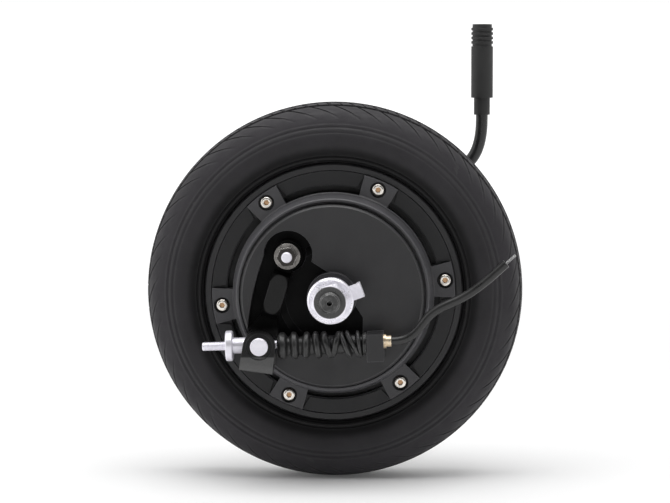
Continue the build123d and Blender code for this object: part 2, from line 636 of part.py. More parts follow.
def make_brake_plate():
    """Cast back plate that closes the drum, with the arm's pocket, the hub, cam bush and cable post."""
    skin = -39.8
    bush_end = -31.8
    body = turned(
        (0, PLATE_FACE_Y),
        (PLATE_R - 1.2, PLATE_FACE_Y),
        (PLATE_R, PLATE_FACE_Y + 1.2),
        (PLATE_R, PLATE_INNER_Y),
        (46.5, PLATE_INNER_Y),
        (46.5, skin),
        (0, skin),
    )
    pocket = arm_pocket()
    lining = (offset(pocket, 3.0) & Circle(PLATE_R)) - Circle(PLATE_HUB_R - 0.1)
    body += slab(lining, skin - 0.7, PLATE_INNER_Y)
    cone = turned((0, POCKET_FLOOR_Y), (31, POCKET_FLOOR_Y), (26.5, skin - 1.2), (0, skin - 1.2))
    cone -= pin(ARM_HUB_R + 1.4, PLATE_FACE_Y, POCKET_FLOOR_Y, CAM)
    body -= slab(pocket, PLATE_FACE_Y - 1, POCKET_FLOOR_Y) - cone
    body += pin(PLATE_HUB_R, PLATE_HUB_Y, BRAKE_SEAT_Y)
    body += pin(8.0, POCKET_FLOOR_Y, bush_end, CAM)
    body += pin(7.5, skin, bush_end, ANCHOR)
    half = POST_SIZE[0] / 2
    block = cable_plane(STOP_DISTANCE - half) * Pos(0, -POST_DROP) * Rectangle(*POST_SIZE[1:])
    body += extrude(block, POST_SIZE[0])
    body += post_foot()
    body -= cable_pin(3.1, STOP_DISTANCE - half - 1, STOP_DISTANCE + half + 1)
    flats = Rectangle(2 * (BRAKE_SEAT_R - 1 + PLATE_BORE_GAP), 20)
    body -= slab(Circle(BRAKE_SEAT_R + PLATE_BORE_GAP) & flats, PLATE_HUB_Y - 1, BRAKE_SEAT_Y + 1)
    body -= pin(CAM_BORE_R + RUN_GAP, skin - 1, bush_end + 1, CAM)
    body -= pin(ANCHOR_R, -41.0, bush_end + 1, ANCHOR)
    keep("brake_plate", body)
    anchor = pin(ANCHOR_R, -41.0, -14.6, ANCHOR)
    keep("anchor_pin", chamfer(round_edges(anchor, -1), 0.6))


# ---------------------------------------------------------------- drum brake: arm and cam
ARM_INNER_Y = -45.5
ARM_SEAT_Y = -50.0  # where the cam's washer bears
ARM_TOP_Y = -54.0
CLEVIS_OUTER_Y = -65.5
SHEET = 4.0
ARM_LENGTH = hypot(TRUNNION[0] - CAM[0], TRUNNION[1] - CAM[1])
ARM_ANGLE = degrees(atan2(TRUNNION[1] - CAM[1], TRUNNION[0] - CAM[0]))
ARM_STEP = (33.5, 36.5)  # along the arm, where its raised bar steps down to the clevis
CLEVIS_SPAN = (-20.0, 15.0)  # along the clevis, from the trunnion
STUD_R = 2.95  # M6


def on_arm(sketch):
    """Places a sketch drawn along +X from the cam onto the arm's centre line."""
    return Pos(*CAM) * Rot(0, 0, ARM_ANGLE) * sketch


def strip(start, start_half, end, end_half):
    """Tapered strip along the arm's centre line."""
    return on_arm(polygon((start, start_half), (end, end_half), (end, -end_half), (start, -start_half)))


def arm_profile(*points):
    """Solid from a side outline of (distance from the cam, y) points, wider than the arm."""
    wide = 4 * CLEVIS_R
    side = extrude(Plane.XY * polygon(*points), wide / 2, both=True)
    return Pos(CAM[0], 0, CAM[1]) * spin(ARM_ANGLE) * side


def make_brake_arm():
    """Forged arm: a hub on the cam's square, a raised bar that steps inwards and a U-shaped clevis."""
    step, throat = ARM_STEP
    outline = Pos(*CAM) * Circle(5.6) + strip(0, 5.2, throat, 4.8)
    outline += strip(throat - 0.1, 4.8, ARM_LENGTH - 6, CLEVIS_R)
    bar_side = arm_profile(
        (-6, ARM_INNER_Y),
        (-6, ARM_SEAT_Y),
        (9.0, ARM_SEAT_Y),
        (11.0, ARM_TOP_Y),
        (step, ARM_TOP_Y + 0.6),
        (throat, ARM_INNER_Y - SHEET),
        (ARM_LENGTH, ARM_INNER_Y - SHEET),
        (ARM_LENGTH, ARM_INNER_Y),
    )
    bar = slab(outline, ARM_TOP_Y, ARM_INNER_Y) & bar_side
    start, end = CLEVIS_SPAN
    sides = polygon((0, CLEVIS_R), (end, CLEVIS_R + 0.4), (end, -CLEVIS_R - 0.4), (0, -CLEVIS_R))
    clevis_outline = Pos(*TRUNNION) * (Circle(CLEVIS_R) + Rot(0, 0, CLEVIS_ANGLE) * sides)
    block = slab(clevis_outline, CLEVIS_OUTER_Y, ARM_INNER_Y)
    depth = ARM_INNER_Y - CLEVIS_OUTER_Y
    outer = Pos((start + end) / 2, (CLEVIS_OUTER_Y + ARM_INNER_Y) / 2)
    u_shape = outer * Rectangle(end - start, depth)
    u_shape = fillet(u_shape.vertices().group_by(Axis.X)[-1], SHEET + 1)
    hollow = outer * Pos(-SHEET, 0) * Rectangle(end - start, depth - 2 * SHEET)
    hollow = fillet(hollow.vertices().group_by(Axis.X)[-1], 1.0)
    u_solid = extrude(Plane.XY * (u_shape - hollow), 2 * CLEVIS_R, both=True)
    clevis = block & (Pos(TRUNNION[0], 0, TRUNNION[1]) * spin(CLEVIS_ANGLE) * u_solid)
    arm = bar + clevis + pin(ARM_HUB_R, ARM_SEAT_Y, -38.2, CAM)
    arm -= slab(Pos(*CAM) * Rot(0, 0, CAM_ANGLE) * Rectangle(6.1, 6.1), ARM_SEAT_Y - 2, -30)
    arm -= pin(TRUNNION_R + RUN_GAP, CLEVIS_OUTER_Y - 2, ARM_INNER_Y + 2, TRUNNION)
    arm -= pin(7.4, CLEVIS_OUTER_Y - 1, CLEVIS_OUTER_Y + 1.0, TRUNNION)
    keep("brake_arm", arm)


def make_brake_cam():
    """Cam between the shoe ends on a stepped shaft, with the washer and nut that hold the arm."""
    neck_y, square_y = -31.4, -38.0
    cam = slab(Pos(*CAM) * Rot(0, 0, CAM_ANGLE) * RectangleRounded(*CAM_SIZE, 1.0), neck_y, -17.0)
    square = slab(Pos(*CAM) * Rot(0, 0, CAM_ANGLE) * Rectangle(6.0, 6.0), ARM_SEAT_Y, square_y)
    stud = chamfer(round_edges(pin(STUD_R, -60.0, ARM_SEAT_Y, CAM), 0), 0.5)
    keep("brake_cam", cam + pin(CAM_BORE_R, square_y, neck_y + 0.4, CAM) + square + stud)
    washer_y = ARM_SEAT_Y - 1.2
    keep("cam_washer", tube(3.1, 6.6, washer_y, ARM_SEAT_Y, CAM))
    bore = STUD_R + THREAD_GAP
    flange = tube(bore, 7.3, washer_y - 1.2, washer_y, CAM)
    hexagon = Rot(0, 0, 8) * RegularPolygon(5.0, 6, major_radius=False) - Circle(bore)
    keep("cam_nut", flange + slab(Pos(*CAM) * hexagon, washer_y - 6.4, washer_y - 1.2))


# ---------------------------------------------------------------- drum brake: cable line
BOOT_SPAN = (9.6, 60.0)  # along the cable line, from the trunnion
BOOT_DROP = 1.0  # how far the boot and its spring hang below the cable line
BOOT_FOLDS = 8
BOOT_R = (5.7, 7.6)
BOOT_BORE_R = 4.6
BOOT_CUFF = 2.0
RETURN_SPRING = (0.5, 3.95, 4.2)  # wire radius, coil radius and pitch
ROD_SPAN = (-32.5, 24.0)
THUMB_DISC_R = 8.6
THUMB_DISC_SPAN = (-19.3, -15.1)
THUMB_BARREL_R = 4.5
WIRE_R = 0.8
CABLE_THROUGH = ((56.0, -56.5, -8.4), (72.5, -57.0, 0.6))  # points on the brake cable's bend
CABLE_TAIL = (98.0, -57.0, 20.5)
HOUSING_R = 2.5
HOUSING_BORE_R = 1.7


def make_cable_end():
    """Clevis pin, threaded rod with its pull wire, and the thumb nut that adjusts it."""
    trunnion = pin(TRUNNION_R, CLEVIS_OUTER_Y - 1.5, ARM_INNER_Y + 0.9, TRUNNION)
    trunnion = chamfer(round_edges(trunnion, 0), 0.5)
    keep("trunnion_pin", trunnion - cable_pin(ROD_R + THREAD_GAP, -8, 8))
    rod = cable_pin(ROD_R, *ROD_SPAN)
    keep("adjuster_rod", chamfer(rod.edges().filter_by(GeomType.CIRCLE), 0.4))
    disc = cable_pin(THUMB_DISC_R, *THUMB_DISC_SPAN)
    disc = fillet(disc.edges().filter_by(GeomType.CIRCLE), 1.0)
    nut = disc + cable_pin(THUMB_BARREL_R, THUMB_DISC_SPAN[1] - 0.2, -TRUNNION_R - 0.4)
    keep("adjuster_nut", nut - cable_pin(ROD_R + THREAD_GAP, -30, 0))
    keep("pull_wire", cable_pin(WIRE_R, ROD_SPAN[1], STOP_DISTANCE))


def make_boot_and_spring():
    start, end = BOOT_SPAN
    length = end - start
    pitch = (length - 2 * BOOT_CUFF) / BOOT_FOLDS
    low_r, high_r = BOOT_R
    outline = [(BOOT_BORE_R, 0), (low_r, 0), (low_r, BOOT_CUFF)]
    for i in range(BOOT_FOLDS):
        fold = BOOT_CUFF + pitch * i
        outline += [(high_r, fold + 0.3 * pitch), (high_r, fold + 0.6 * pitch), (low_r, fold + pitch)]
    outline += [(low_r, length), (BOOT_BORE_R, length)]
    boot = Rot(90, 0, 0) * turned(*outline)
    keep("cable_boot", cable_plane(start) * Pos(0, -BOOT_DROP) * boot)
    coil = spring(*RETURN_SPRING, length - 2 * BOOT_CUFF)
    keep("return_spring", cable_plane(start + BOOT_CUFF) * Pos(0, -BOOT_DROP) * coil)


def make_brake_cable():
    """Brass end ferrule in the post, and a length of the cable's outer housing and inner wire."""
    seat = STOP_DISTANCE + POST_SIZE[0] / 2
    collar, socket = seat + 1.6, seat + 4.4
    ferrule = cable_pin(3.05, seat - 8.0, seat) + cable_pin(4.0, seat, collar)
    ferrule += cable_pin(3.2, collar, socket)
    ferrule -= cable_pin(HOUSING_BORE_R, seat - 9, collar) + cable_pin(HOUSING_R, collar, socket + 1)
    keep("cable_ferrule", ferrule)
    leave = cable_plane(seat + 6).origin
    line = (cable_plane(0).z_dir.X, 0, cable_plane(0).z_dir.Z)
    end_way = Vector(0.74, 0, 0.67)
    tail = Vector(CABLE_TAIL)
    bend = Spline(leave, *CABLE_THROUGH, tail, tangents=(line, end_way))
    path = Line(cable_plane(collar).origin, leave) + bend
    keep("cable_outer", swept(HOUSING_R, path) - swept(HOUSING_BORE_R, path))
    keep("cable_inner", swept(WIRE_R, bend + Line(tail, tail + end_way * 7)))


# ---------------------------------------------------------------- drum brake: shoes
SHOE_Y = (-31.0, -15.0)
WEB_Y = (-24.5, -21.5)
WEB_R = 24.5
TABLE_R = (38.4, 41.6)
LINING_R = 44.4
SHOE_SPAN = (22, 158)
LINING_SPAN = (27, 153)
SHOE_SPRING_AT = (22.0, 12.5)
SHOE_SPRING_Y = -27.6


def shoe_web():
    """Web of the upper shoe, with the cam on -X and the anchor on +X."""
    web = arc_band(WEB_R, TABLE_R[0] + 0.2, 14, 166) + arc_band(WEB_R, TABLE_R[1], 0, 16)
    web += Pos(-CAM_R, 10) * Rectangle(11, 14) & Circle(TABLE_R[1])
    web -= Pos(0, -20) * Rectangle(100, 40.8)
    web -= Pos(-CAM_R, 0) * Rectangle(16, CAM_SIZE[1] + 2 * RUN_GAP)
    return web - Pos(CAM_R, 0) * Circle(ANCHOR_R + RUN_GAP)


def make_shoes():
    """Two shoes, drawn with the cam on -X and then turned to the cam's view angle."""
    place = spin(CAM_ANGLE - 180)
    spring_x, spring_z = SHOE_SPRING_AT
    for name, upper in (("rear_shoe", True), ("front_shoe", False)):
        shoe = slab(arc_band(*TABLE_R, *SHOE_SPAN), *SHOE_Y) + slab(shoe_web(), *WEB_Y)
        for x in (-spring_x, spring_x):
            shoe += pin(1.3, SHOE_SPRING_Y - 2.6, WEB_Y[0], (x, spring_z))
        lining = slab(arc_band(TABLE_R[1], LINING_R, *LINING_SPAN), SHOE_Y[0] + 0.3, SHOE_Y[1] - 0.3)
        if not upper:
            shoe, lining = mirror(shoe, Plane.XY), mirror(lining, Plane.XY)
        keep(name, place * shoe)
        keep(f"{name}_lining", place * lining)
    height = 2 * (spring_z - 3.4)
    coils = []
    for x in (-spring_x, spring_x):
        coils.append(place * Pos(x, SHOE_SPRING_Y, -height / 2) * spring(0.5, 2.4, 1.9, height))
    keep("shoe_springs", *coils)


# ---------------------------------------------------------------- build and write
def build():
    make_tyre()
    make_valve()
    make_rim_shell()
    make_rotor()
    make_brake_side_cover()
    make_cable_side_cover()
    make_bearing("brake_side", BRAKE_BEARING_R, BRAKE_BEARING_Y, *BRAKE_BALLS)
    make_bearing("cable_side", CABLE_BEARING_R, CABLE_BEARING_Y, *CABLE_BALLS)
    make_axle()
    make_stator()
    make_stator_hub()
    make_motor_cable()
    make_connector()
    make_axle_fasteners()
    make_brake_plate()
    make_brake_arm()
    make_brake_cam()
    make_cable_end()
    make_boot_and_spring()
    make_brake_cable()
    make_shoes()


build()
os.makedirs("parts", exist_ok=True)
for node, shape in parts.items():
    export_step(Pos(0, 0, AXLE_HEIGHT) * shape, f"parts/{node}.step")
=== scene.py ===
"""Looks of the hub motor wheel: tyre with its tread, rubber boot, threads and every finish.

Meshes are drawn in millimetres round the wheel's centre; make_object turns them into metres
and lifts them to the axle's height. The axle is along Y and -Y is the drum brake's side.
"""

import json
import math
import random

import bmesh
import bpy
import numpy as np
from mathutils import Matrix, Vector


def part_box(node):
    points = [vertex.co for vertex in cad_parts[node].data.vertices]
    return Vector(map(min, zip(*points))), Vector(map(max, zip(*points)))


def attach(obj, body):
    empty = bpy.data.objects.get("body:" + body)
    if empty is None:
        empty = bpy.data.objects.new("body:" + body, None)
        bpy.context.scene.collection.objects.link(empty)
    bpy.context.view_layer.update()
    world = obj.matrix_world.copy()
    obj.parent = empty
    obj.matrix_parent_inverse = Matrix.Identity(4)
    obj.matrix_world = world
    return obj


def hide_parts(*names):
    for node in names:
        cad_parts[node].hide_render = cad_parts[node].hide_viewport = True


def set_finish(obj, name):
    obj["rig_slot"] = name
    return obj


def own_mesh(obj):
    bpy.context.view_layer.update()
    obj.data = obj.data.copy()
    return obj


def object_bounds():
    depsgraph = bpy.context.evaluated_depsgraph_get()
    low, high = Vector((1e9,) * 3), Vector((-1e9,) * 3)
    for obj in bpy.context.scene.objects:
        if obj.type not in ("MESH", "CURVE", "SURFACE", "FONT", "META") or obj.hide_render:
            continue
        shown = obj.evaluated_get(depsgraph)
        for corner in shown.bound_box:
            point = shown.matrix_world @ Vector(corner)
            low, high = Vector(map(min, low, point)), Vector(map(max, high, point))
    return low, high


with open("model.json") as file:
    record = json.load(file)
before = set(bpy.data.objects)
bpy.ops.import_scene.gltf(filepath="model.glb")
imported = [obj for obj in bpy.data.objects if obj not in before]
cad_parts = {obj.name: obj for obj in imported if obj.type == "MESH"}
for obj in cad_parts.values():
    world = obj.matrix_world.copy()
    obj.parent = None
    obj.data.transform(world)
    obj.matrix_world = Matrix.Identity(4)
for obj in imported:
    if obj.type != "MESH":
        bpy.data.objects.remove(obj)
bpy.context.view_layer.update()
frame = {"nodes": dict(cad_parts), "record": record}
MM = 0.001
AXLE_Z = sum(corner.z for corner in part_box("axle")) / 2 / MM
CENTRE = np.array((0.0, 0.0, AXLE_Z))
rng = random.Random(11)


# ---------------------------------------------------------------- mesh helpers
THREAD_STEPS = 28  # points round one turn of a thread or of the spring
THREAD_SUNK = 0.06  # how far a thread's foot is sunk in its rod
THREAD_FOOT = 0.46  # half widths of a thread's foot and crest, in pitches
THREAD_CREST = 0.08


def make_object(name, verts, faces, sharp_angle=None):
    """Mesh object from points in millimetres, smooth shaded but for edges sharper than an angle."""
    mesh = bpy.data.meshes.new(name)
    mesh.from_pydata(((np.asarray(verts, float) + CENTRE) * MM).tolist(), [], faces)
    mesh.update()
    work = bmesh.new()
    work.from_mesh(mesh)
    bmesh.ops.recalc_face_normals(work, faces=work.faces)
    for face in work.faces:
        face.smooth = True
    if sharp_angle is not None:
        limit = math.radians(sharp_angle)
        for edge in work.edges:
            edge.smooth = edge.calc_face_angle(0.0) < limit
    work.to_mesh(mesh)
    work.free()
    obj = bpy.data.objects.new(name, mesh)
    bpy.context.scene.collection.objects.link(obj)
    return obj


def grid_faces(rows, columns, wrap_rows=False):
    """Quads between rows of points that each close on themselves; the last row can join the first."""
    last_row = rows if wrap_rows else rows - 1
    faces = []
    for i in range(last_row):
        a, b = i * columns, (i + 1) % rows * columns
        for j in range(columns):
            k = (j + 1) % columns
            faces.append((a + j, a + k, b + k, b + j))
    return faces


def smooth_line(points, per_span=12):
    """Catmull-Rom curve through the points."""
    pts = np.asarray(points, float)
    ends = (2 * pts[0] - pts[1], 2 * pts[-1] - pts[-2])
    pts = np.vstack([ends[0], pts, ends[1]])
    out = []
    for i in range(1, len(pts) - 2):
        p0, p1, p2, p3 = pts[i - 1 : i + 3]
        straight = p2 - p0
        square = 2 * p0 - 5 * p1 + 4 * p2 - p3
        cubic = 3 * p1 - p0 - 3 * p2 + p3
        for t in np.linspace(0, 1, per_span, endpoint=False):
            out.append(p1 + 0.5 * (straight * t + square * t**2 + cubic * t**3))
    out.append(pts[-2])
    return np.array(out)


def axes_along(direction):
    """Two unit vectors square to a direction and to each other."""
    d = Vector(direction).normalized()
    side = d.cross(Vector((0, 1, 0)) if abs(d.y) < 0.9 else Vector((1, 0, 0))).normalized()
    return np.array(side), np.array(d.cross(side))


def screw_thread(name, start, end, core_r, crest_r, pitch, body, slot):
    """Helical ridge on a plain cylinder, with ends that fade into it."""
    start, end = np.array(start, float), np.array(end, float)
    length = np.linalg.norm(end - start)
    way = (end - start) / length
    side, up = axes_along(way)
    count = int(length / pitch * THREAD_STEPS)
    low = core_r - THREAD_SUNK
    verts = []
    for i in range(count + 1):
        angle = 2 * math.pi * i / THREAD_STEPS
        fade = min(1.0, i / THREAD_STEPS * 1.5, (count - i) / THREAD_STEPS * 1.5)
        out = math.cos(angle) * side + math.sin(angle) * up
        middle = start + way * pitch * i / THREAD_STEPS
        high = low + (crest_r - low) * max(fade, 0.02)
        profile = ((low, -THREAD_FOOT), (high, -THREAD_CREST), (high, THREAD_CREST), (low, THREAD_FOOT))
        for radius, shift in profile:
            verts.append(middle + out * radius + way * pitch * shift)
    faces = grid_faces(count + 1, 4)
    faces += [(3, 2, 1, 0), tuple(4 * count + k for k in range(4))]
    obj = make_object(name, verts, faces, 25)
    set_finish(obj, slot)
    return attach(obj, body)


# ---------------------------------------------------------------- tyre
TREAD_COUNT = 50
TREAD_R = 104.0
SIDE_OUTLINE = (  # radius and half width, from the rim's lip to the crown
    (73.6, 15.4),
    (74.5, 19.6),
    (76.0, 21.6),
    (79.0, 23.4),
    (84.0, 24.9),
    (90.0, 24.9),
    (95.5, 23.6),
    (99.8, 21.8),
    (103.6, 18.9),
    (106.3, 13.2),
    (107.6, 7.0),
    (108.0, 0.0),
)
INSIDE_OUTLINE = (
    (69.3, 15.4),
    (67.5, 14.0),
    (67.5, 11.5),
    (72.0, 12.6),
    (78.0, 17.4),
    (84.0, 19.9),
    (90.0, 20.5),
    (96.0, 19.0),
    (100.3, 14.8),
    (102.0, 8.0),
    (102.4, 0.0),
)
SIDE_LINES = (  # radius, width and depth of each moulded line; a negative depth is a rib
    (76.6, 1.3, -0.55),
    (77.9, 0.9, 0.45),
    (91.8, 0.7, 0.35),
    (93.4, 1.2, -0.22),
    (94.8, 0.7, 0.38),
    (96.1, 0.9, -0.25),
)
TREAD_LINES = ((4.0, 2.4, 2.4), (12.0, 2.4, 2.8))  # half distance apart, width and depth
ZIGZAG = 0.75  # how far the middle grooves swing to each side
ZIGZAG_SPAN = (0, 2.5, 5.5, 8)  # half widths between which the swing grows, holds and fades
SIPE_WIDTH = 1.4
SIPE_TURN_R = (96, 100, 104.6)  # places of a sipe's turns: these radii, these half widths and the crown
SIPE_TURN_WIDTHS = (12, 4)
SIPE_TURN = (0, 2.2, 7.5, 11.5, 13.8, 14.6)  # degrees a sipe has gone round at each of them
SIPE_DEPTH_R = (99.6, 101.6, 104.0)  # places of a sipe's depths: these radii and this half width
SIPE_DEPTH_WIDTH = 14
SIPE_DEPTH = (0, 0.22, 0.55, 1.7)
SIPE_END = 3.6  # half width at which the sipes stop, short of the middle grooves
SLIT_WIDTH = 0.5
SLIT_SPAN = (5, 11)  # half widths between which the slits run
SLIT_DEPTH = 1.6
BEVEL = 0.3  # half width of the sloping edge of a sipe


def tyre_columns():
    """Offsets round one tread pitch, in millimetres at the tread: edges of the sipe and of the slit."""
    pitch = 2 * math.pi * TREAD_R / TREAD_COUNT
    half = SIPE_WIDTH / 2
    sipe = [-half - BEVEL, -half, -half + BEVEL, half - BEVEL, half, half + BEVEL]
    middle = pitch / 2
    slit = [middle - SLIT_WIDTH, middle - SLIT_WIDTH / 2, middle + SLIT_WIDTH / 2, middle + SLIT_WIDTH]
    land = [2.7, 4.3, pitch - 4.3, pitch - 2.7]
    return np.array(sorted(sipe + slit + land)), pitch


def trapezoid(offset, half_width, bevel):
    """1 inside a half width, 0 beyond it and its bevel."""
    return np.clip((half_width + bevel - np.abs(offset)) / bevel, 0, 1)


class TyreProfile:
    """One half of the tyre's outside, from the rim's lip to the crown, by distance run along it."""

    def __init__(self):
        self.line = smooth_line(SIDE_OUTLINE)
        self.run = np.concatenate([[0], np.cumsum(np.hypot(*np.diff(self.line, axis=0).T))])
        self.widest = np.argmax(self.line[:, 1])
        self.end = self.run[-1]

    def at_radius(self, radius):
        """Distance run at which the outside has a radius."""
        return np.interp(radius, self.line[:, 0], self.run)

    def at_width(self, half_width):
        """Distance run at which the tread has a half width."""
        return np.interp(-half_width, -self.line[self.widest :, 1], self.run[self.widest :])

    def point(self, run):
        """Radius and half width at a distance run."""
        return np.interp(run, self.run, self.line[:, 0]), np.interp(run, self.run, self.line[:, 1])

    def outward(self, run):
        """Direction square to the outside, in radius and half width."""
        r0, y0 = self.point(run - 0.4)
        r1, y1 = self.point(run + 0.4)
        size = np.hypot(r1 - r0, y1 - y0)
        return (y0 - y1) / size, (r1 - r0) / size


def tyre_rows(profile):
    """Rows of points from the lip to the crown, and how deep the moulded lines are at each."""
    from_shoulder = profile.at_radius(97)
    rows = [*np.arange(0, from_shoulder, 1.3), *np.arange(from_shoulder, profile.end, 0.95), profile.end]
    lines = [(profile.at_radius(radius), width, depth) for radius, width, depth in SIDE_LINES]
    lines += [(profile.at_width(half), width, depth) for half, width, depth in TREAD_LINES]
    for centre, width, _ in lines:
        rows = [run for run in rows if abs(run - centre) > width / 2 + 0.45]
        for edge in (width / 2 - 0.25, width / 2 + 0.25):
            rows += [centre - edge, centre + edge]
    rows = np.array(sorted(rows))
    depth = sum(depth * trapezoid(rows - centre, width / 2 - 0.25, 0.5) for centre, width, depth in lines)
    return rows, depth


def make_tyre():
    """Tyre with moulded side lines, zigzag tread grooves, curved sipes and short slits."""
    profile = TyreProfile()
    rows, line_depth = tyre_rows(profile)
    columns, pitch = tyre_columns()

    # Up the section: how far round the sipes have turned, and how deep each kind of cut is.
    half = profile.point(rows)[1]
    turn_at = [profile.at_radius(radius) for radius in SIPE_TURN_R]
    turn_at += [profile.at_width(width) for width in SIPE_TURN_WIDTHS]
    turn = np.interp(rows, turn_at + [profile.end], SIPE_TURN)
    sipe_at = [profile.at_radius(radius) for radius in SIPE_DEPTH_R] + [profile.at_width(SIPE_DEPTH_WIDTH)]
    sipe_depth = np.where(half < SIPE_END, 0, np.interp(rows, sipe_at, SIPE_DEPTH))
    slit_depth = np.where((half < SLIT_SPAN[1]) & (half > SLIT_SPAN[0]), SLIT_DEPTH, 0)
    zigzag = ZIGZAG * np.interp(half, ZIGZAG_SPAN, [0, 1, 1, 0])

    # Round the tyre: each column's offset, its place within a pitch and the cuts that it crosses.
    offset = np.concatenate([columns + pitch * k for k in range(TREAD_COUNT)])
    within = np.tile(columns, TREAD_COUNT)
    wave = np.interp(within, [columns[0], pitch / 2, pitch + columns[0]], [-1, 1, -1])
    sipe = trapezoid(within, SIPE_WIDTH / 2 - BEVEL, 2 * BEVEL)
    slit = trapezoid(within - pitch / 2, SLIT_WIDTH / 2, SLIT_WIDTH / 2)

    # The relief: each point sinks by the deeper of its cut and its line, and a rib stands out.
    run = rows[:, None] - zigzag[:, None] * wave[None, :]
    cut = sipe_depth[:, None] * sipe[None, :] + slit_depth[:, None] * slit[None, :]
    depth = np.maximum(cut, line_depth[:, None])
    depth = np.where(line_depth[:, None] < 0, line_depth[:, None], depth)
    radius, width = profile.point(run)
    out_radius, out_width = profile.outward(run)
    radius = radius - depth * out_radius
    width = width - depth * out_width
    angle = np.radians(turn)[:, None] + (offset / TREAD_R)[None, :]

    # A closed section: up one side of the outside, down the other, then round the inside.
    inside = np.vstack([INSIDE_OUTLINE[:2], smooth_line(INSIDE_OUTLINE[2:], 4)])
    inside_angle = np.broadcast_to(offset / TREAD_R, (len(inside), len(offset)))
    inside_r = np.broadcast_to(inside[:, 0:1], inside_angle.shape)
    inside_y = np.broadcast_to(inside[:, 1:2], inside_angle.shape)
    around_r = np.vstack([radius, radius[-2::-1], inside_r, inside_r[-2::-1]])
    around_y = np.vstack([-width, width[-2::-1], inside_y, -inside_y[-2::-1]])
    around_a = np.vstack([angle, angle[-2::-1], inside_angle, inside_angle[-2::-1]])
    verts = np.stack([around_r * np.cos(around_a), around_y, around_r * np.sin(around_a)], axis=-1)
    faces = grid_faces(*around_r.shape, wrap_rows=True)
    tyre = make_object("tyre_with_tread", verts.reshape(-1, 3), faces, 38)
    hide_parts("tyre")
    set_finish(tyre, "tyre_rubber")
    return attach(tyre, "wheel")


# ---------------------------------------------------------------- cable line: boot, spring and threads
AXLE_THREAD = (5.7, 6.0, 1.25)  # core and crest radius and pitch
ROD_THREAD = (2.3, 2.5, 0.8)
AXLE_THREAD_INSET = (0.2, 1.1)  # from the nut's face and from the axle's end
ROD_THREAD_INSET = (0.6, 0.8)  # from the rod's end and from the clevis pin
BOOT_END_GAP = 0.45
BOOT_CUFF = (0.5, 2.2)  # lengths of the smooth cuffs at the arm's end and at the post's end
BOOT_CUFF_TAPER = 0.6
BOOT_CUFF_R = 6.3
BOOT_WALL = 0.65
BOOT_VALLEY_R = 5.2
BOOT_RIDGE_R = 7.75
BOOT_FOLDS = (  # place along the boot, lean, half width and depth of the dent in each fold
    (2.9, 0.0, 2.3, 0.0),
    (9.7, 0.02, 2.0, 0.05),
    (16.2, -0.05, 1.9, 0.08),
    (22.4, 0.1, 1.8, 0.15),
    (28.0, 0.22, 1.9, 0.25),
    (32.8, -0.22, 1.8, 0.3),
    (38.2, 0.3, 1.5, 0.25),
    (42.6, 0.42, 1.3, 0.4),
    (46.0, 0.1, 1.1, 0.3),
)
BOOT_WAVES = ((0.14, 3, 0.9), (0.12, 2, -0.6))  # height, lobes round the boot and turn per millimetre
BOOT_ROWS = 260
BOOT_COLUMNS = 72
SPRING_COIL_R = 3.95
SPRING_WIRE_R = 0.5
SPRING_TURNS = 11
SPRING_INSET = 1.6
SPRING_SIDES = 8


def cable_line():
    """Free end of the adjuster rod, and the direction of the cable line."""
    low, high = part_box("adjuster_rod")
    wire_low, wire_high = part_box("pull_wire")
    start = Vector((low.x, (low.y + high.y) / 2, low.z + (high.y - low.y) / 2))
    end = Vector((wire_high.x, start.y, wire_high.z - (wire_high.y - wire_low.y) / 2))
    return np.array(start) / MM - CENTRE, np.array((end - start).normalized())


def boot_line():
    """Arm end of the boot's middle line, its direction and its length."""
    _, way = cable_line()
    low, high = (np.array(corner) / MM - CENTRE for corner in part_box("cable_boot"))
    length = high[0] - low[0] - 2 * BOOT_END_GAP
    return (low + high) / 2 - way * length / 2, way, length


def follow_arm(piece):
    """Gives a piece its own copy of its mesh."""
    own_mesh(piece)


def boot_radius(t, a, length, turns):
    """Radius of the boot at a distance from its arm end and an angle from its top."""
    lift = 0.0
    for (middle, lean, half_width, dent), turn in zip(BOOT_FOLDS, turns):
        offset = t - middle + lean * BOOT_RIDGE_R * math.cos(a)
        dented = 1 - dent * (0.5 + 0.5 * math.cos(2 * a - turn))
        lift = max(lift, math.exp(-((offset / half_width) ** 4)) * dented)
    slack = sum(height * math.sin(lobes * a + t * lead) for height, lobes, lead in BOOT_WAVES)
    radius = BOOT_VALLEY_R + lift * (BOOT_RIDGE_R - BOOT_VALLEY_R) + slack
    near, far = BOOT_CUFF
    cuff = max(0.0, 1 - t / near, min(1.0, (t - length + far) / BOOT_CUFF_TAPER))
    return radius + cuff * (BOOT_CUFF_R - radius)


def make_boot():
    """Rubber bellows: even folds near the arm, slanting ones pressed into each other near the post."""
    start, way, length = boot_line()
    side, up = axes_along(way)
    turns = [rng.uniform(0, 2 * math.pi) for _ in BOOT_FOLDS]
    angles = np.linspace(0, 2 * math.pi, BOOT_COLUMNS, endpoint=False)
    places = np.linspace(0, length, BOOT_ROWS)
    rings = [(t, [boot_radius(t, a, length, turns) for a in angles]) for t in places]
    bore = [BOOT_VALLEY_R - BOOT_WALL] * BOOT_COLUMNS
    rings += [(length, bore), (0.0, bore)]
    verts = []
    for t, radii in rings:
        for a, radius in zip(angles, radii):
            verts.append(start + way * t + radius * (math.cos(a) * side + math.sin(a) * up))
    boot = make_object("rubber_boot", verts, grid_faces(len(rings), BOOT_COLUMNS, wrap_rows=True), 60)
    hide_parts("cable_boot")
    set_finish(boot, "black_rubber")
    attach(boot, "axle_assembly")
    follow_arm(boot)
    return boot


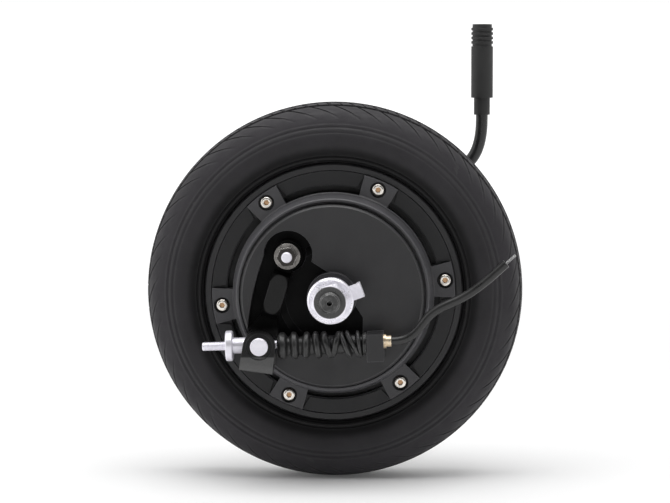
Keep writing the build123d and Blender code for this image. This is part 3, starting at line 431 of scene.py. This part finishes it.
def make_return_spring():
    """Spring inside the boot."""
    start, way, length = boot_line()
    side, up = axes_along(way)
    count = SPRING_TURNS * THREAD_STEPS
    reach = length - 2 * SPRING_INSET
    verts = []
    for i in range(count + 1):
        a = 2 * math.pi * i / THREAD_STEPS
        out = math.cos(a) * side + math.sin(a) * up
        middle = start + way * (SPRING_INSET + reach * i / count) + out * SPRING_COIL_R
        for j in range(SPRING_SIDES):
            b = 2 * math.pi * j / SPRING_SIDES
            verts.append(middle + SPRING_WIRE_R * (math.cos(b) * out + math.sin(b) * way))
    faces = grid_faces(count + 1, SPRING_SIDES)
    faces.append(tuple(reversed(range(SPRING_SIDES))))
    faces.append(tuple(count * SPRING_SIDES + k for k in range(SPRING_SIDES)))
    spring = make_object("return_spring_coil", verts, faces)
    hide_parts("return_spring")
    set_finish(spring, "wire_steel")
    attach(spring, "axle_assembly")
    follow_arm(spring)
    return spring


def make_threads():
    """Visible threads: both axle ends outside their nuts, and the adjuster rod up to the clevis pin."""
    nut_low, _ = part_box("brake_side_axle_nut")
    axle_low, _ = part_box("axle")
    inner = nut_low.y / MM + AXLE_THREAD_INSET[0]
    outer = axle_low.y / MM + AXLE_THREAD_INSET[1]
    made = []
    for name, side in (("axle_thread_brake_side", 1), ("axle_thread_cable_side", -1)):
        ends = ((0, inner * side, 0), (0, outer * side, 0))
        made.append(screw_thread(name, *ends, *AXLE_THREAD, "axle_assembly", "axle_steel"))
    start, way = cable_line()
    pin_low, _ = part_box("trunnion_pin")
    reach = (pin_low.x / MM - start[0]) / way[0]
    ends = (start + way * ROD_THREAD_INSET[0], start + way * (reach - ROD_THREAD_INSET[1]))
    made.append(screw_thread("adjuster_rod_thread", *ends, *ROD_THREAD, "cable_end", "plated_steel"))
    return made


# ---------------------------------------------------------------- material helpers
def new_material(name):
    """Empty node material with one shader: the material, its tree and the shader."""
    mat = bpy.data.materials.new(name)
    mat.use_nodes = True
    tree = mat.node_tree
    tree.nodes.clear()
    out = tree.nodes.new("ShaderNodeOutputMaterial")
    shader = tree.nodes.new("ShaderNodeBsdfPrincipled")
    tree.links.new(shader.outputs[0], out.inputs["Surface"])
    return mat, tree, shader


def put(tree, kind, inputs=None, **settings):
    """Adds a node. An input is a value, or an output socket to link."""
    node = tree.nodes.new(kind)
    for key, value in settings.items():
        setattr(node, key, value)
    for key, value in (inputs or {}).items():
        if isinstance(value, bpy.types.NodeSocket):
            tree.links.new(value, node.inputs[key])
        else:
            node.inputs[key].default_value = value
    return node


def place(tree):
    """Place of a point in the object's own frame, in metres."""
    return put(tree, "ShaderNodeTexCoord").outputs["Object"]


def noise(tree, scale, detail=3.0, roughness=0.55, stretch=None):
    """Noise value, its scale in features per metre."""
    where = place(tree)
    if stretch:
        where = put(tree, "ShaderNodeVectorMath", {0: where, 1: stretch}, operation="MULTIPLY").outputs[0]
    inputs = {"Vector": where, "Scale": scale, "Detail": detail, "Roughness": roughness}
    return put(tree, "ShaderNodeTexNoise", inputs).outputs["Fac"]


def fit(tree, value, low, high, to_low=0.0, to_high=1.0):
    """Maps a value smoothly from one range to another, clamped."""
    inputs = {"Value": value, "From Min": low, "From Max": high, "To Min": to_low, "To Max": to_high}
    return put(tree, "ShaderNodeMapRange", inputs, interpolation_type="SMOOTHSTEP").outputs["Result"]


def maths(tree, operation, a, b=0.0):
    """Result of one sum on two values or sockets."""
    return put(tree, "ShaderNodeMath", {0: a, 1: b}, operation=operation).outputs[0]


def sum_of(tree, first, first_share, second, second_share):
    """Two values added in their shares."""
    first_part = maths(tree, "MULTIPLY", first, first_share)
    second_part = maths(tree, "MULTIPLY", second, second_share)
    return maths(tree, "ADD", first_part, second_part)


def blend_colours(tree, share, a, b):
    """Colour that goes from a to b as the share goes from 0 to 1."""
    node = put(tree, "ShaderNodeMix", {"Factor": share}, data_type="RGBA")
    for index, value in ((6, a), (7, b)):
        if isinstance(value, bpy.types.NodeSocket):
            tree.links.new(value, node.inputs[index])
        else:
            node.inputs[index].default_value = (*value, 1.0)
    return node.outputs[2]


def bumped(tree, height, distance, normal=None):
    """Normal of a surface with a relief, its full height in metres."""
    inputs = {"Height": height, "Distance": distance, "Strength": 1.0}
    if normal is not None:
        inputs["Normal"] = normal
    return put(tree, "ShaderNodeBump", inputs).outputs[0]


def rounded_edges(tree, radius):
    """Normal that rounds off edges, and a mask that is 1 on them."""
    bevel = put(tree, "ShaderNodeBevel", {"Radius": radius}, samples=6).outputs[0]
    flat = put(tree, "ShaderNodeNewGeometry").outputs["Normal"]
    same = put(tree, "ShaderNodeVectorMath", {0: bevel, 1: flat}, operation="DOT_PRODUCT").outputs["Value"]
    return bevel, fit(tree, same, 0.995, 0.86)


def pointiness(tree, low, high):
    """0 to 1 as a surface goes from one degree of curvature to another; 0.5 is flat."""
    return fit(tree, put(tree, "ShaderNodeNewGeometry").outputs["Pointiness"], low, high)


def axle_distance(tree):
    """Distance from the wheel's axis, in metres."""
    inputs = {0: place(tree), 1: (0, 0, AXLE_Z * MM)}
    from_centre = put(tree, "ShaderNodeVectorMath", inputs, operation="SUBTRACT").outputs[0]
    split = put(tree, "ShaderNodeSeparateXYZ", {0: from_centre})
    flat = put(tree, "ShaderNodeCombineXYZ", {"X": split.outputs["X"], "Z": split.outputs["Z"]}).outputs[0]
    return put(tree, "ShaderNodeVectorMath", {0: flat}, operation="LENGTH").outputs["Value"]


def depth_along_axle(tree):
    """Place along the axle, in metres from the middle of the wheel."""
    return put(tree, "ShaderNodeSeparateXYZ", {0: place(tree)}).outputs["Y"]


def finish_nodes(
    tree, shader, colours, roughness, metallic=0.0, patch=60.0, grain=900.0, bump=0.02, edge=None
):
    """Colour and roughness that drift in patches, a fine grain in relief, and rounded edges with a patchy
    painted highlight.

    colours and roughness each hold the two ends of the drift. patch and grain are features per metre,
    and bump is the grain's height in millimetres.
    """
    fine = noise(tree, grain, 2.0, 0.5)
    patches = maths(tree, "MULTIPLY", noise(tree, patch, 4.0, 0.6), 0.7)
    drift = fit(tree, maths(tree, "ADD", patches, maths(tree, "MULTIPLY", fine, 0.3)), 0.35, 0.65)
    colour = blend_colours(tree, drift, colours[0], colours[1])
    rough = fit(tree, drift, 0.0, 1.0, roughness[0], roughness[1])
    normal = None
    if edge:
        normal, mask = rounded_edges(tree, edge["radius"] * MM)
        # painted highlight on the rounded edges: their colour is lightened, in patches unless the edge's even
        # share is high
        patchy_painted_light = fit(tree, noise(tree, 700.0), 0.3, 0.6, edge.get("even", 0.35), 1.0)
        uneven_painted_light_share = maths(tree, "MULTIPLY", mask, patchy_painted_light)
        colour = blend_colours(tree, maths(tree, "MULTIPLY", uneven_painted_light_share, edge["amount"]), colour, edge["colour"])
    tree.links.new(colour, shader.inputs["Base Color"])
    tree.links.new(rough, shader.inputs["Roughness"])
    shader.inputs["Metallic"].default_value = metallic
    tree.links.new(bumped(tree, fine, bump * MM, normal), shader.inputs["Normal"])
    return colour


def finish(name, *args, **kwargs):
    """Material with the common nodes and nothing else."""
    mat, tree, shader = new_material(name)
    finish_nodes(tree, shader, *args, **kwargs)
    return mat


def grey(value, tint=(1.0, 1.0, 1.0)):
    """Grey of a brightness, leaning to a tint."""
    return tuple(value * t for t in tint)


# ---------------------------------------------------------------- materials
COOL = (1.0, 0.98, 1.06)  # tints
WARM = (1.05, 1.0, 0.93)
RUBBER = (1.06, 0.96, 1.14)


def tyre_rubber():
    """Moulded rubber: matt, faintly dusty, greyer on the ribs and edges as a painted highlight, with painted
    shade in the creases and fine moulding marks.
    """
    mat, tree, shader = new_material("tyre_rubber")
    radius = axle_distance(tree)
    fine = noise(tree, 1400.0, 3.0, 0.6)
    swirl = noise(tree, 160.0, 3.0, 0.6, stretch=(1, 3, 1))
    dusty = fit(tree, sum_of(tree, noise(tree, 45.0, 5.0, 0.6), 0.6, swirl, 0.4), 0.38, 0.66)
    colour = blend_colours(tree, dusty, grey(0.011, RUBBER), grey(0.019, RUBBER))
    shoulder = fit(tree, radius, 86 * MM, 96 * MM, 0.0, 0.4)
    colour = blend_colours(tree, shoulder, colour, grey(0.03, RUBBER))
    beside_rim = fit(tree, radius, 86 * MM, 79 * MM)
    colour = blend_colours(tree, maths(tree, "MULTIPLY", beside_rim, 0.75), colour, grey(0.003))
    # painted highlight on the convex ribs and edges, and painted shade in the creases and cuts
    painted_ridge_highlight = maths(tree, "MULTIPLY", pointiness(tree, 0.505, 0.53), 0.3)
    colour = blend_colours(tree, painted_ridge_highlight, colour, grey(0.05))
    painted_crease_shade = maths(tree, "MULTIPLY", pointiness(tree, 0.495, 0.46), 0.15)
    colour = blend_colours(tree, painted_crease_shade, colour, grey(0.006))
    tree.links.new(colour, shader.inputs["Base Color"])
    rough = fit(tree, sum_of(tree, swirl, 1.0, fine, 0.4), 0.4, 1.0, 0.52, 0.74)
    tree.links.new(rough, shader.inputs["Roughness"])
    tree.links.new(fit(tree, beside_rim, 0.0, 1.0, 0.42, 0.2), shader.inputs["Specular IOR Level"])
    tree.links.new(bumped(tree, sum_of(tree, fine, 1.0, swirl, 2.5), 0.03 * MM), shader.inputs["Normal"])
    return mat


def powder_coat(name, base, painted_light_steps=(), shine=0.5, edge=(0.09, 0.5)):
    """Fine-textured black coat.

    painted_light_steps are (depth from, depth to, grey): a face is painted lighter the further it stands out
    along the axle, as painted light on raised faces and painted shade in the recesses.
    edge is the grey of the painted highlight on the rounded edges and its share.
    """
    mat, tree, shader = new_material(name)
    colours = (grey(base, COOL), grey(base * 1.35, COOL))
    colour = finish_nodes(tree, shader, colours, (0.4, 0.52), patch=70.0, grain=1500.0)
    depth = maths(tree, "ABSOLUTE", depth_along_axle(tree))
    mottle = noise(tree, 1200.0)
    # painted light and shade: faces that stand out further along the axle are painted lighter, recessed ones
    # stay dark as painted shade
    for start, end, level in painted_light_steps:
        mottled = blend_colours(tree, mottle, grey(level * 0.85, COOL), grey(level * 1.15, COOL))
        colour = blend_colours(tree, fit(tree, depth, start * MM, end * MM), colour, mottled)
    if painted_light_steps:
        raised = fit(tree, depth, painted_light_steps[0][0] * MM, painted_light_steps[0][1] * MM, shine, 0.55)
        tree.links.new(raised, shader.inputs["Specular IOR Level"])
    # painted highlight on the rounded edges
    normal, mask = rounded_edges(tree, 0.45 * MM)
    colour = blend_colours(tree, maths(tree, "MULTIPLY", mask, edge[1]), colour, grey(edge[0], COOL))
    tree.links.new(colour, shader.inputs["Base Color"])
    tree.links.new(bumped(tree, noise(tree, 1500.0, 2.0, 0.5), 0.03 * MM, normal), shader.inputs["Normal"])
    return mat


def zinc_plate():
    """Satin zinc plate, bright from every side."""
    # painted highlight on the rounded edges
    edge = {"radius": 0.3, "amount": 0.4, "colour": grey(0.98)}
    colours = (grey(0.96, COOL), grey(0.86, COOL))
    surface = {"metallic": 0.6, "patch": 160.0, "grain": 2600.0, "bump": 0.006}
    return finish("plated_steel", colours, (0.34, 0.46), **surface, edge=edge)


def axle_nut_steel():
    """Bright flange and corners with a dark top face round the thread."""
    mat, tree, shader = new_material("axle_nut_steel")
    # painted highlight on the rounded edges
    edge = {"radius": 0.3, "amount": 0.4, "colour": grey(0.98)}
    colours = (grey(0.98, COOL), grey(0.88, COOL))
    surface = {"metallic": 0.7, "patch": 160.0, "bump": 0.006}
    colour = finish_nodes(tree, shader, colours, (0.26, 0.4), **surface, edge=edge)
    low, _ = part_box("brake_side_axle_nut")
    depth = maths(tree, "ABSOLUTE", depth_along_axle(tree))
    top = fit(tree, depth, -low.y - 0.35 * MM, -low.y - 0.1 * MM)
    inner = fit(tree, axle_distance(tree), 9.2 * MM, 8.7 * MM)
    dark = maths(tree, "MULTIPLY", top, inner)
    tree.links.new(blend_colours(tree, dark, colour, grey(0.085)), shader.inputs["Base Color"])
    return mat


def black_nut_steel():
    """Blued nut and washer: dark, with the flange and corners painted brighter as a highlight round the
    darker hexagon.
    """
    mat, tree, shader = new_material("black_nut_steel")
    # painted highlight on the rounded edges
    edge = {"radius": 0.4, "amount": 0.7, "colour": (0.62, 0.6, 0.58), "even": 0.9}
    colours = ((0.2, 0.19, 0.18), (0.11, 0.105, 0.1))
    surface = {"metallic": 0.95, "patch": 200.0, "bump": 0.004}
    colour = finish_nodes(tree, shader, colours, (0.16, 0.26), **surface, edge=edge)
    _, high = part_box("cam_nut")
    depth = maths(tree, "ABSOLUTE", depth_along_axle(tree))
    # beyond the flange the hexagon is dark; the flange and corners keep the lighter colour as a painted
    # highlight
    from_flange = fit(tree, depth, -high.y + 1.3 * MM, -high.y + 1.8 * MM)
    corner = rounded_edges(tree, 0.5 * MM)[1]
    dark = maths(tree, "MULTIPLY", from_flange, maths(tree, "SUBTRACT", 1.0, corner))
    tree.links.new(blend_colours(tree, dark, colour, (0.04, 0.037, 0.035)), shader.inputs["Base Color"])
    return mat


def screw_steel():
    """Bright stainless screw head whose hexagon socket holds brown thread-lock and dirt."""
    mat, tree, shader = new_material("stainless")
    # painted highlight on the rounded edges
    edge = {"radius": 0.2, "amount": 0.4, "colour": grey(0.95)}
    colours = (grey(0.82, WARM), grey(0.68, WARM))
    surface = {"metallic": 1.0, "patch": 500.0, "grain": 3000.0, "bump": 0.005}
    colour = finish_nodes(tree, shader, colours, (0.16, 0.3), **surface, edge=edge)
    low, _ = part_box("brake_side_cover_screws")
    depth = maths(tree, "ABSOLUTE", depth_along_axle(tree))
    sunk = fit(tree, depth, -low.y - 0.25 * MM, -low.y - 0.9 * MM)
    brown = blend_colours(tree, noise(tree, 1500.0), (0.30, 0.17, 0.09), (0.52, 0.34, 0.2))
    tree.links.new(blend_colours(tree, sunk, colour, brown), shader.inputs["Base Color"])
    return mat


# Oval of the arm's bar that is left lit; round it the paint is painted dark as shade.
LIT_ARM_OVAL = (22.3, 11.8, 5.7)  # distance of its middle from the cam, half length and half width


def outside_oval(tree, start, end):
    """0 on the oval that lies along the line from start to end, 1 outside it."""
    reach, half_length, half_width = (value * MM for value in LIT_ARM_OVAL)
    way = Vector((end.x - start.x, 0, end.z - start.z)).normalized()
    inputs = {0: place(tree), 1: start + way * reach}
    from_middle = put(tree, "ShaderNodeVectorMath", inputs, operation="SUBTRACT").outputs[0]
    total = 0.0
    for direction, half in ((way, half_length), (Vector((way.z, 0, -way.x)), half_width)):
        inputs = {0: from_middle, 1: direction / half}
        share = put(tree, "ShaderNodeVectorMath", inputs, operation="DOT_PRODUCT").outputs["Value"]
        total = maths(tree, "ADD", total, maths(tree, "POWER", maths(tree, "ABSOLUTE", share), 2.4))
    return fit(tree, total, 0.8, 1.05)


def arm_paint():
    """Black paint: satin and left lit on an oval of the raised bar, painted dark as shade round it, painted
    lighter where the clevis bends as bounce light from below, with a painted highlight on its edges.
    """
    mat, tree, shader = new_material("arm_paint")
    edge = {"radius": 0.5, "amount": 0.6, "colour": grey(0.10, COOL)}
    colours = (grey(0.004), grey(0.008))
    colour = finish_nodes(tree, shader, colours, (0.3, 0.4), patch=150.0, grain=1500.0, edge=edge)
    height = put(tree, "ShaderNodeSeparateXYZ", {0: place(tree)}).outputs["Z"]
    pin_low, pin_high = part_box("trunnion_pin")
    cam_low, cam_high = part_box("cam_nut")
    # the clevis bend is painted lighter grey, as painted bounce light from below
    bend = fit(tree, height, pin_low.z - 0.3 * MM, pin_low.z - 1.5 * MM)
    # round the lit oval of the bar, above the pin, the paint is painted dark as shade, with less specular
    outside = outside_oval(tree, (cam_low + cam_high) / 2, (pin_low + pin_high) / 2)
    above_pin = fit(tree, height, pin_high.z, pin_high.z + 5 * MM)
    painted_shade = maths(tree, "MULTIPLY", outside, above_pin)
    patchy_painted_light = blend_colours(tree, noise(tree, 1400.0, 3.0), grey(0.04), grey(0.085))
    colour = blend_colours(tree, painted_shade, blend_colours(tree, bend, colour, patchy_painted_light), grey(0.002))
    tree.links.new(colour, shader.inputs["Base Color"])
    shine = maths(tree, "SUBTRACT", fit(tree, bend, 0.0, 1.0, 0.25, 0.6), maths(tree, "MULTIPLY", painted_shade, 0.22))
    tree.links.new(shine, shader.inputs["Specular IOR Level"])
    return mat


def dark_steel():
    """Machined, oiled axle steel with turning marks round the axis."""
    mat, tree, shader = new_material("axle_steel")
    # painted highlight on the rounded edges
    edge = {"radius": 0.35, "amount": 0.7, "colour": grey(0.62)}
    colours = (grey(0.115), grey(0.075))
    finish_nodes(tree, shader, colours, (0.3, 0.46), metallic=1.0, patch=260.0, bump=0.004, edge=edge)
    inputs = {"Scale": 9000.0, "Detail": 2.0, "W": axle_distance(tree)}
    rings = put(tree, "ShaderNodeTexNoise", inputs, noise_dimensions="1D")
    tree.links.new(bumped(tree, rings.outputs["Fac"], 0.012 * MM), shader.inputs["Normal"])
    return mat


def boot_rubber():
    """Creased rubber with a slight shine, a patchy painted highlight on the fold ridges and painted shade,
    with less shine, in the creases between them.
    """
    mat, tree, shader = new_material("boot_rubber")
    colours = (grey(0.014), grey(0.022))
    colour = finish_nodes(tree, shader, colours, (0.3, 0.42), patch=150.0, grain=1300.0, bump=0.04)
    # patchy painted highlight on the fold ridges
    uneven_painted_light_share = fit(tree, noise(tree, 500.0), 0.4, 0.6, 0.3, 0.8)
    patchy_painted_light = maths(tree, "MULTIPLY", pointiness(tree, 0.505, 0.55), uneven_painted_light_share)
    colour = blend_colours(tree, patchy_painted_light, colour, grey(0.09))
    # painted shade in the creases between the folds, with less specular
    painted_crease_shade = pointiness(tree, 0.495, 0.45)
    tree.links.new(blend_colours(tree, painted_crease_shade, colour, grey(0.001)), shader.inputs["Base Color"])
    tree.links.new(fit(tree, painted_crease_shade, 0.0, 1.0, 0.5, 0.03), shader.inputs["Specular IOR Level"])
    return mat


def ribbed_coil():
    """Copper winding: enamelled wires side by side round each tooth."""
    mat, tree, shader = new_material("copper_wire")
    colours = ((0.55, 0.2, 0.07), (0.42, 0.14, 0.05))
    finish_nodes(tree, shader, colours, (0.22, 0.38), metallic=0.7, patch=120.0)
    wires = maths(tree, "SINE", maths(tree, "MULTIPLY", axle_distance(tree), 2 * math.pi / (0.9 * MM)))
    tree.links.new(bumped(tree, wires, 0.25 * MM), shader.inputs["Normal"])
    return mat


def laminated_steel():
    """Stacked half-millimetre sheets seen on edge."""
    mat, tree, shader = new_material("core_steel")
    finish_nodes(tree, shader, (grey(0.22, COOL), grey(0.30, COOL)), (0.35, 0.5), metallic=0.9, patch=140.0)
    sheets = maths(tree, "SINE", maths(tree, "MULTIPLY", depth_along_axle(tree), 2 * math.pi / (0.5 * MM)))
    tree.links.new(bumped(tree, sheets, 0.08 * MM), shader.inputs["Normal"])
    return mat


def circuit_board():
    """Green board with copper tracks under the lacquer."""
    mat, tree, shader = new_material("board_green")
    inputs = {"Vector": place(tree), "Scale": 420.0}
    cells = put(tree, "ShaderNodeTexVoronoi", inputs, feature="DISTANCE_TO_EDGE")
    track = fit(tree, cells.outputs["Distance"], 0.05, 0.02)
    colour = blend_colours(tree, track, (0.015, 0.12, 0.04), (0.05, 0.28, 0.1))
    tree.links.new(colour, shader.inputs["Base Color"])
    tree.links.new(fit(tree, noise(tree, 300.0), 0.3, 0.7, 0.25, 0.45), shader.inputs["Roughness"])
    tree.links.new(bumped(tree, track, 0.03 * MM), shader.inputs["Normal"])
    return mat


def stranded_wire():
    """Fine wires laid in a helix."""
    mat, tree, shader = new_material("wire_steel")
    finish_nodes(tree, shader, (grey(0.55), grey(0.42)), (0.25, 0.4), metallic=1.0, patch=400.0)
    split = put(tree, "ShaderNodeSeparateXYZ", {0: place(tree)})
    lay = maths(tree, "ADD", split.outputs["X"], maths(tree, "MULTIPLY", split.outputs["Z"], 1.6))
    lay = maths(tree, "ADD", lay, maths(tree, "MULTIPLY", split.outputs["Y"], 1.2))
    strands = maths(tree, "SINE", maths(tree, "MULTIPLY", lay, 2 * math.pi / (0.55 * MM)))
    tree.links.new(bumped(tree, strands, 0.1 * MM), shader.inputs["Normal"])
    return mat


def friction_lining():
    """Coarse brown brake lining."""
    mat, tree, shader = new_material("lining")
    colours = ((0.11, 0.085, 0.06), (0.2, 0.16, 0.12))
    finish_nodes(tree, shader, colours, (0.7, 0.9), patch=500.0, grain=1500.0, bump=0.08)
    return mat


def plain_finishes():
    """Finishes that need no more than the common nodes: slot, colours, roughness and the rest."""
    # edge colours are painted highlights on the rounded edges
    soft_edge = {"radius": 0.5, "amount": 0.35, "colour": grey(0.05)}
    metal_edge = {"radius": 0.3, "amount": 0.5, "colour": grey(0.8)}
    brass = ((0.72, 0.5, 0.24), (0.56, 0.36, 0.16))
    pale_brass = ((0.9, 0.78, 0.6), (0.76, 0.6, 0.4))
    iron = (grey(0.16, WARM), grey(0.24, WARM))
    dark = (grey(0.012), grey(0.02))
    moulded = {"grain": 1800.0, "edge": soft_edge}
    metal = {"metallic": 1.0, "edge": metal_edge}
    plated = {"metallic": 0.7, "edge": metal_edge}
    cast = {"metallic": 1.0, "bump": 0.05}
    return (
        ("tube_rubber", (grey(0.012), grey(0.018)), (0.4, 0.55), {"patch": 90.0}),
        ("black_rubber", dark, (0.5, 0.64), {"patch": 120.0, **moulded}),
        ("black_plastic", dark, (0.35, 0.5), {"patch": 140.0, **moulded}),
        ("cable_sheath", dark, (0.26, 0.38), {"patch": 120.0, "grain": 2200.0, "bump": 0.008}),
        ("valve_brass", brass, (0.2, 0.36), {"patch": 300.0, "bump": 0.006, **metal}),
        ("ferrule_brass", pale_brass, (0.25, 0.4), {"patch": 300.0, "bump": 0.006, **plated}),
        ("cage_brass", brass, (0.22, 0.34), {"patch": 200.0, **metal}),
        ("cast_iron", iron, (0.45, 0.6), {"patch": 200.0, **cast, "metallic": 0.8}),
        ("yoke_steel", (grey(0.32), grey(0.24)), (0.35, 0.5), {"patch": 100.0, **metal}),
        ("magnet_plate", (grey(0.6), grey(0.5)), (0.12, 0.24), {"patch": 160.0, **metal}),
        ("bearing_steel", (grey(0.7), grey(0.6)), (0.08, 0.18), {"patch": 200.0, "bump": 0.003, **metal}),
        ("stator_aluminium", (grey(0.6), grey(0.48)), (0.35, 0.5), {"patch": 120.0, **cast}),
        ("shoe_aluminium", (grey(0.58), grey(0.46)), (0.4, 0.55), {"patch": 160.0, **cast}),
    )


def make_materials():
    """Every finish by its name: the record's slots, and those that single pieces have of their own."""
    materials = {name: finish(name, *levels, **rest) for name, *levels, rest in plain_finishes()}
    # The cover's ring and bosses and the plate's face are painted lighter than the recesses round them:
    # painted light on raised faces, painted shade in the recesses.
    cover_painted_light_steps = ((21.4, 22.6, 0.046), (24.0, 27.0, 0.075))
    plate_painted_light_steps = ((42.0, 43.2, 0.018),)
    materials.update(
        {
            "shell_paint": powder_coat("shell_paint", 0.014),
            "cover_paint": powder_coat("cover_paint", 0.011, cover_painted_light_steps, shine=0.4),
            # the plate's edges carry a strong painted highlight
            "plate_paint": powder_coat("plate_paint", 0.002, plate_painted_light_steps, shine=0.1, edge=(0.16, 0.8)),
            "tyre_rubber": tyre_rubber(),
            "boot_rubber": boot_rubber(),
            "plated_steel": zinc_plate(),
            "axle_nut_steel": axle_nut_steel(),
            "black_nut_steel": black_nut_steel(),
            "stainless": screw_steel(),
            "arm_paint": arm_paint(),
            "axle_steel": dark_steel(),
            "copper_wire": ribbed_coil(),
            "core_steel": laminated_steel(),
            "board_green": circuit_board(),
            "wire_steel": stranded_wire(),
            "lining": friction_lining(),
        }
    )
    return materials


OWN_FINISH = {
    "cable_ferrule": "ferrule_brass",
    "brake_side_axle_nut": "axle_nut_steel",
    "cable_side_axle_nut": "axle_nut_steel",
    "cam_nut": "black_nut_steel",
    "cam_washer": "black_nut_steel",
    "rubber_boot": "boot_rubber",
}


def dress(materials, pieces):
    """Gives every CAD node and every new piece its own finish, or the one of its slot."""
    slots = {row["node"]: row["material_slot"] for row in frame["record"]["subparts"]}
    for name, obj in frame["nodes"].items():
        obj.data.materials.clear()
        obj.data.materials.append(materials[OWN_FINISH.get(name, slots[name])])
    for piece in pieces:
        piece.data.materials.append(materials[OWN_FINISH.get(piece.name, piece["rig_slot"])])


# ---------------------------------------------------------------- floor, light and camera
FLOOR_HALF = 12.0
CAMERA_AZIMUTH = 2.2  # degrees right of the axle
CAMERA_ELEVATION = 5.4  # degrees above it
CAMERA_DISTANCE = 2.0
PICTURE = (670, 503)
PICTURE_HEIGHT = 1.12  # height of the view, in heights of the object


def pale_floor():
    """White paper that glows a little away from the wheel, where the lamp above no longer reaches it."""
    mat, tree, shader = new_material("pale_floor")
    colour = blend_colours(tree, noise(tree, 3.0), grey(0.88), grey(0.9))
    tree.links.new(colour, shader.inputs["Base Color"])
    shader.inputs["Roughness"].default_value = 0.7
    shader.inputs["Emission Color"].default_value = (1, 1, 1, 1)
    away = put(tree, "ShaderNodeVectorMath", {0: place(tree)}, operation="LENGTH").outputs["Value"]
    tree.links.new(fit(tree, away, 0.2, 2.4, 0.06, 0.6), shader.inputs["Emission Strength"])
    corners = [(FLOOR_HALF * x, FLOOR_HALF * y, 0) for x, y in ((-1, -1), (1, -1), (1, 1), (-1, 1))]
    mesh = bpy.data.meshes.new("floor")
    mesh.from_pydata(corners, [], [(0, 1, 2, 3)])
    floor = bpy.data.objects.new("floor", mesh)
    mesh.materials.append(mat)
    bpy.context.scene.collection.objects.link(floor)


def studio_world():
    """White surroundings, dark behind the camera so that faces square to it stay calm and edges shine."""
    world = bpy.data.worlds.new("studio")
    bpy.context.scene.world = world
    world.use_nodes = True
    tree = world.node_tree
    tree.nodes.clear()
    way = put(tree, "ShaderNodeTexCoord").outputs["Generated"]
    split = put(tree, "ShaderNodeSeparateXYZ", {0: way})
    dark = fit(tree, split.outputs["Y"], -0.1, -0.8)
    level = put(tree, "ShaderNodeMix", {"Factor": dark, "A": 0.8, "B": 0.06}).outputs[0]
    seen = put(tree, "ShaderNodeLightPath").outputs["Is Camera Ray"]
    strength = put(tree, "ShaderNodeMix", {"Factor": seen, "A": level, "B": 1.0}).outputs[0]
    background = put(tree, "ShaderNodeBackground", {"Color": (1, 1, 1, 1), "Strength": strength})
    out = tree.nodes.new("ShaderNodeOutputWorld")
    tree.links.new(background.outputs[0], out.inputs["Surface"])


def soft_light(name, at, target, size, watts):
    """Rectangular lamp that points at a target."""
    data = bpy.data.lights.new(name, "AREA")
    data.shape = "RECTANGLE"
    data.size, data.size_y = size
    data.energy = watts
    light = bpy.data.objects.new(name, data)
    light.location = at
    light.rotation_euler = (Vector(target) - Vector(at)).to_track_quat("-Z", "Y").to_euler()
    bpy.context.scene.collection.objects.link(light)


def make_camera(low, high):
    """Long lens two metres away, a little right of the axle and a little above it."""
    azimuth, elevation = math.radians(CAMERA_AZIMUTH), math.radians(CAMERA_ELEVATION)
    target = Vector((0.0, 0.0, (low[2] + high[2]) / 2))
    flat = math.cos(elevation)
    way = Vector((math.sin(azimuth) * flat, -math.cos(azimuth) * flat, math.sin(elevation)))
    data = bpy.data.cameras.new("camera")
    camera = bpy.data.objects.new("camera", data)
    camera.location = target + way * CAMERA_DISTANCE
    camera.rotation_euler = (-way).to_track_quat("-Z", "Y").to_euler()
    width = (high[2] - low[2]) * PICTURE_HEIGHT * PICTURE[0] / PICTURE[1]
    data.sensor_width = 36.0
    data.lens = data.sensor_width * CAMERA_DISTANCE / width
    bpy.context.scene.collection.objects.link(camera)
    bpy.context.scene.camera = camera


def make_studio():
    """Floor, light and camera."""
    low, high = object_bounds()
    pale_floor()
    studio_world()
    soft_light("top_light", (0.0, -0.3, 1.6), (0, 0, 0.1), (1.5, 1.3), 17)
    soft_light("left_light", (-1.5, -0.5, 0.7), (0, 0, 0.1), (0.7, 1.2), 4)
    make_camera(low, high)
    bpy.context.scene.view_settings.view_transform = "Standard"


# ---------------------------------------------------------------- build
def build():
    """New pieces, finishes and the studio."""
    pieces = [make_tyre(), make_boot(), make_return_spring(), *make_threads()]
    dress(make_materials(), pieces)
    make_studio()


build()
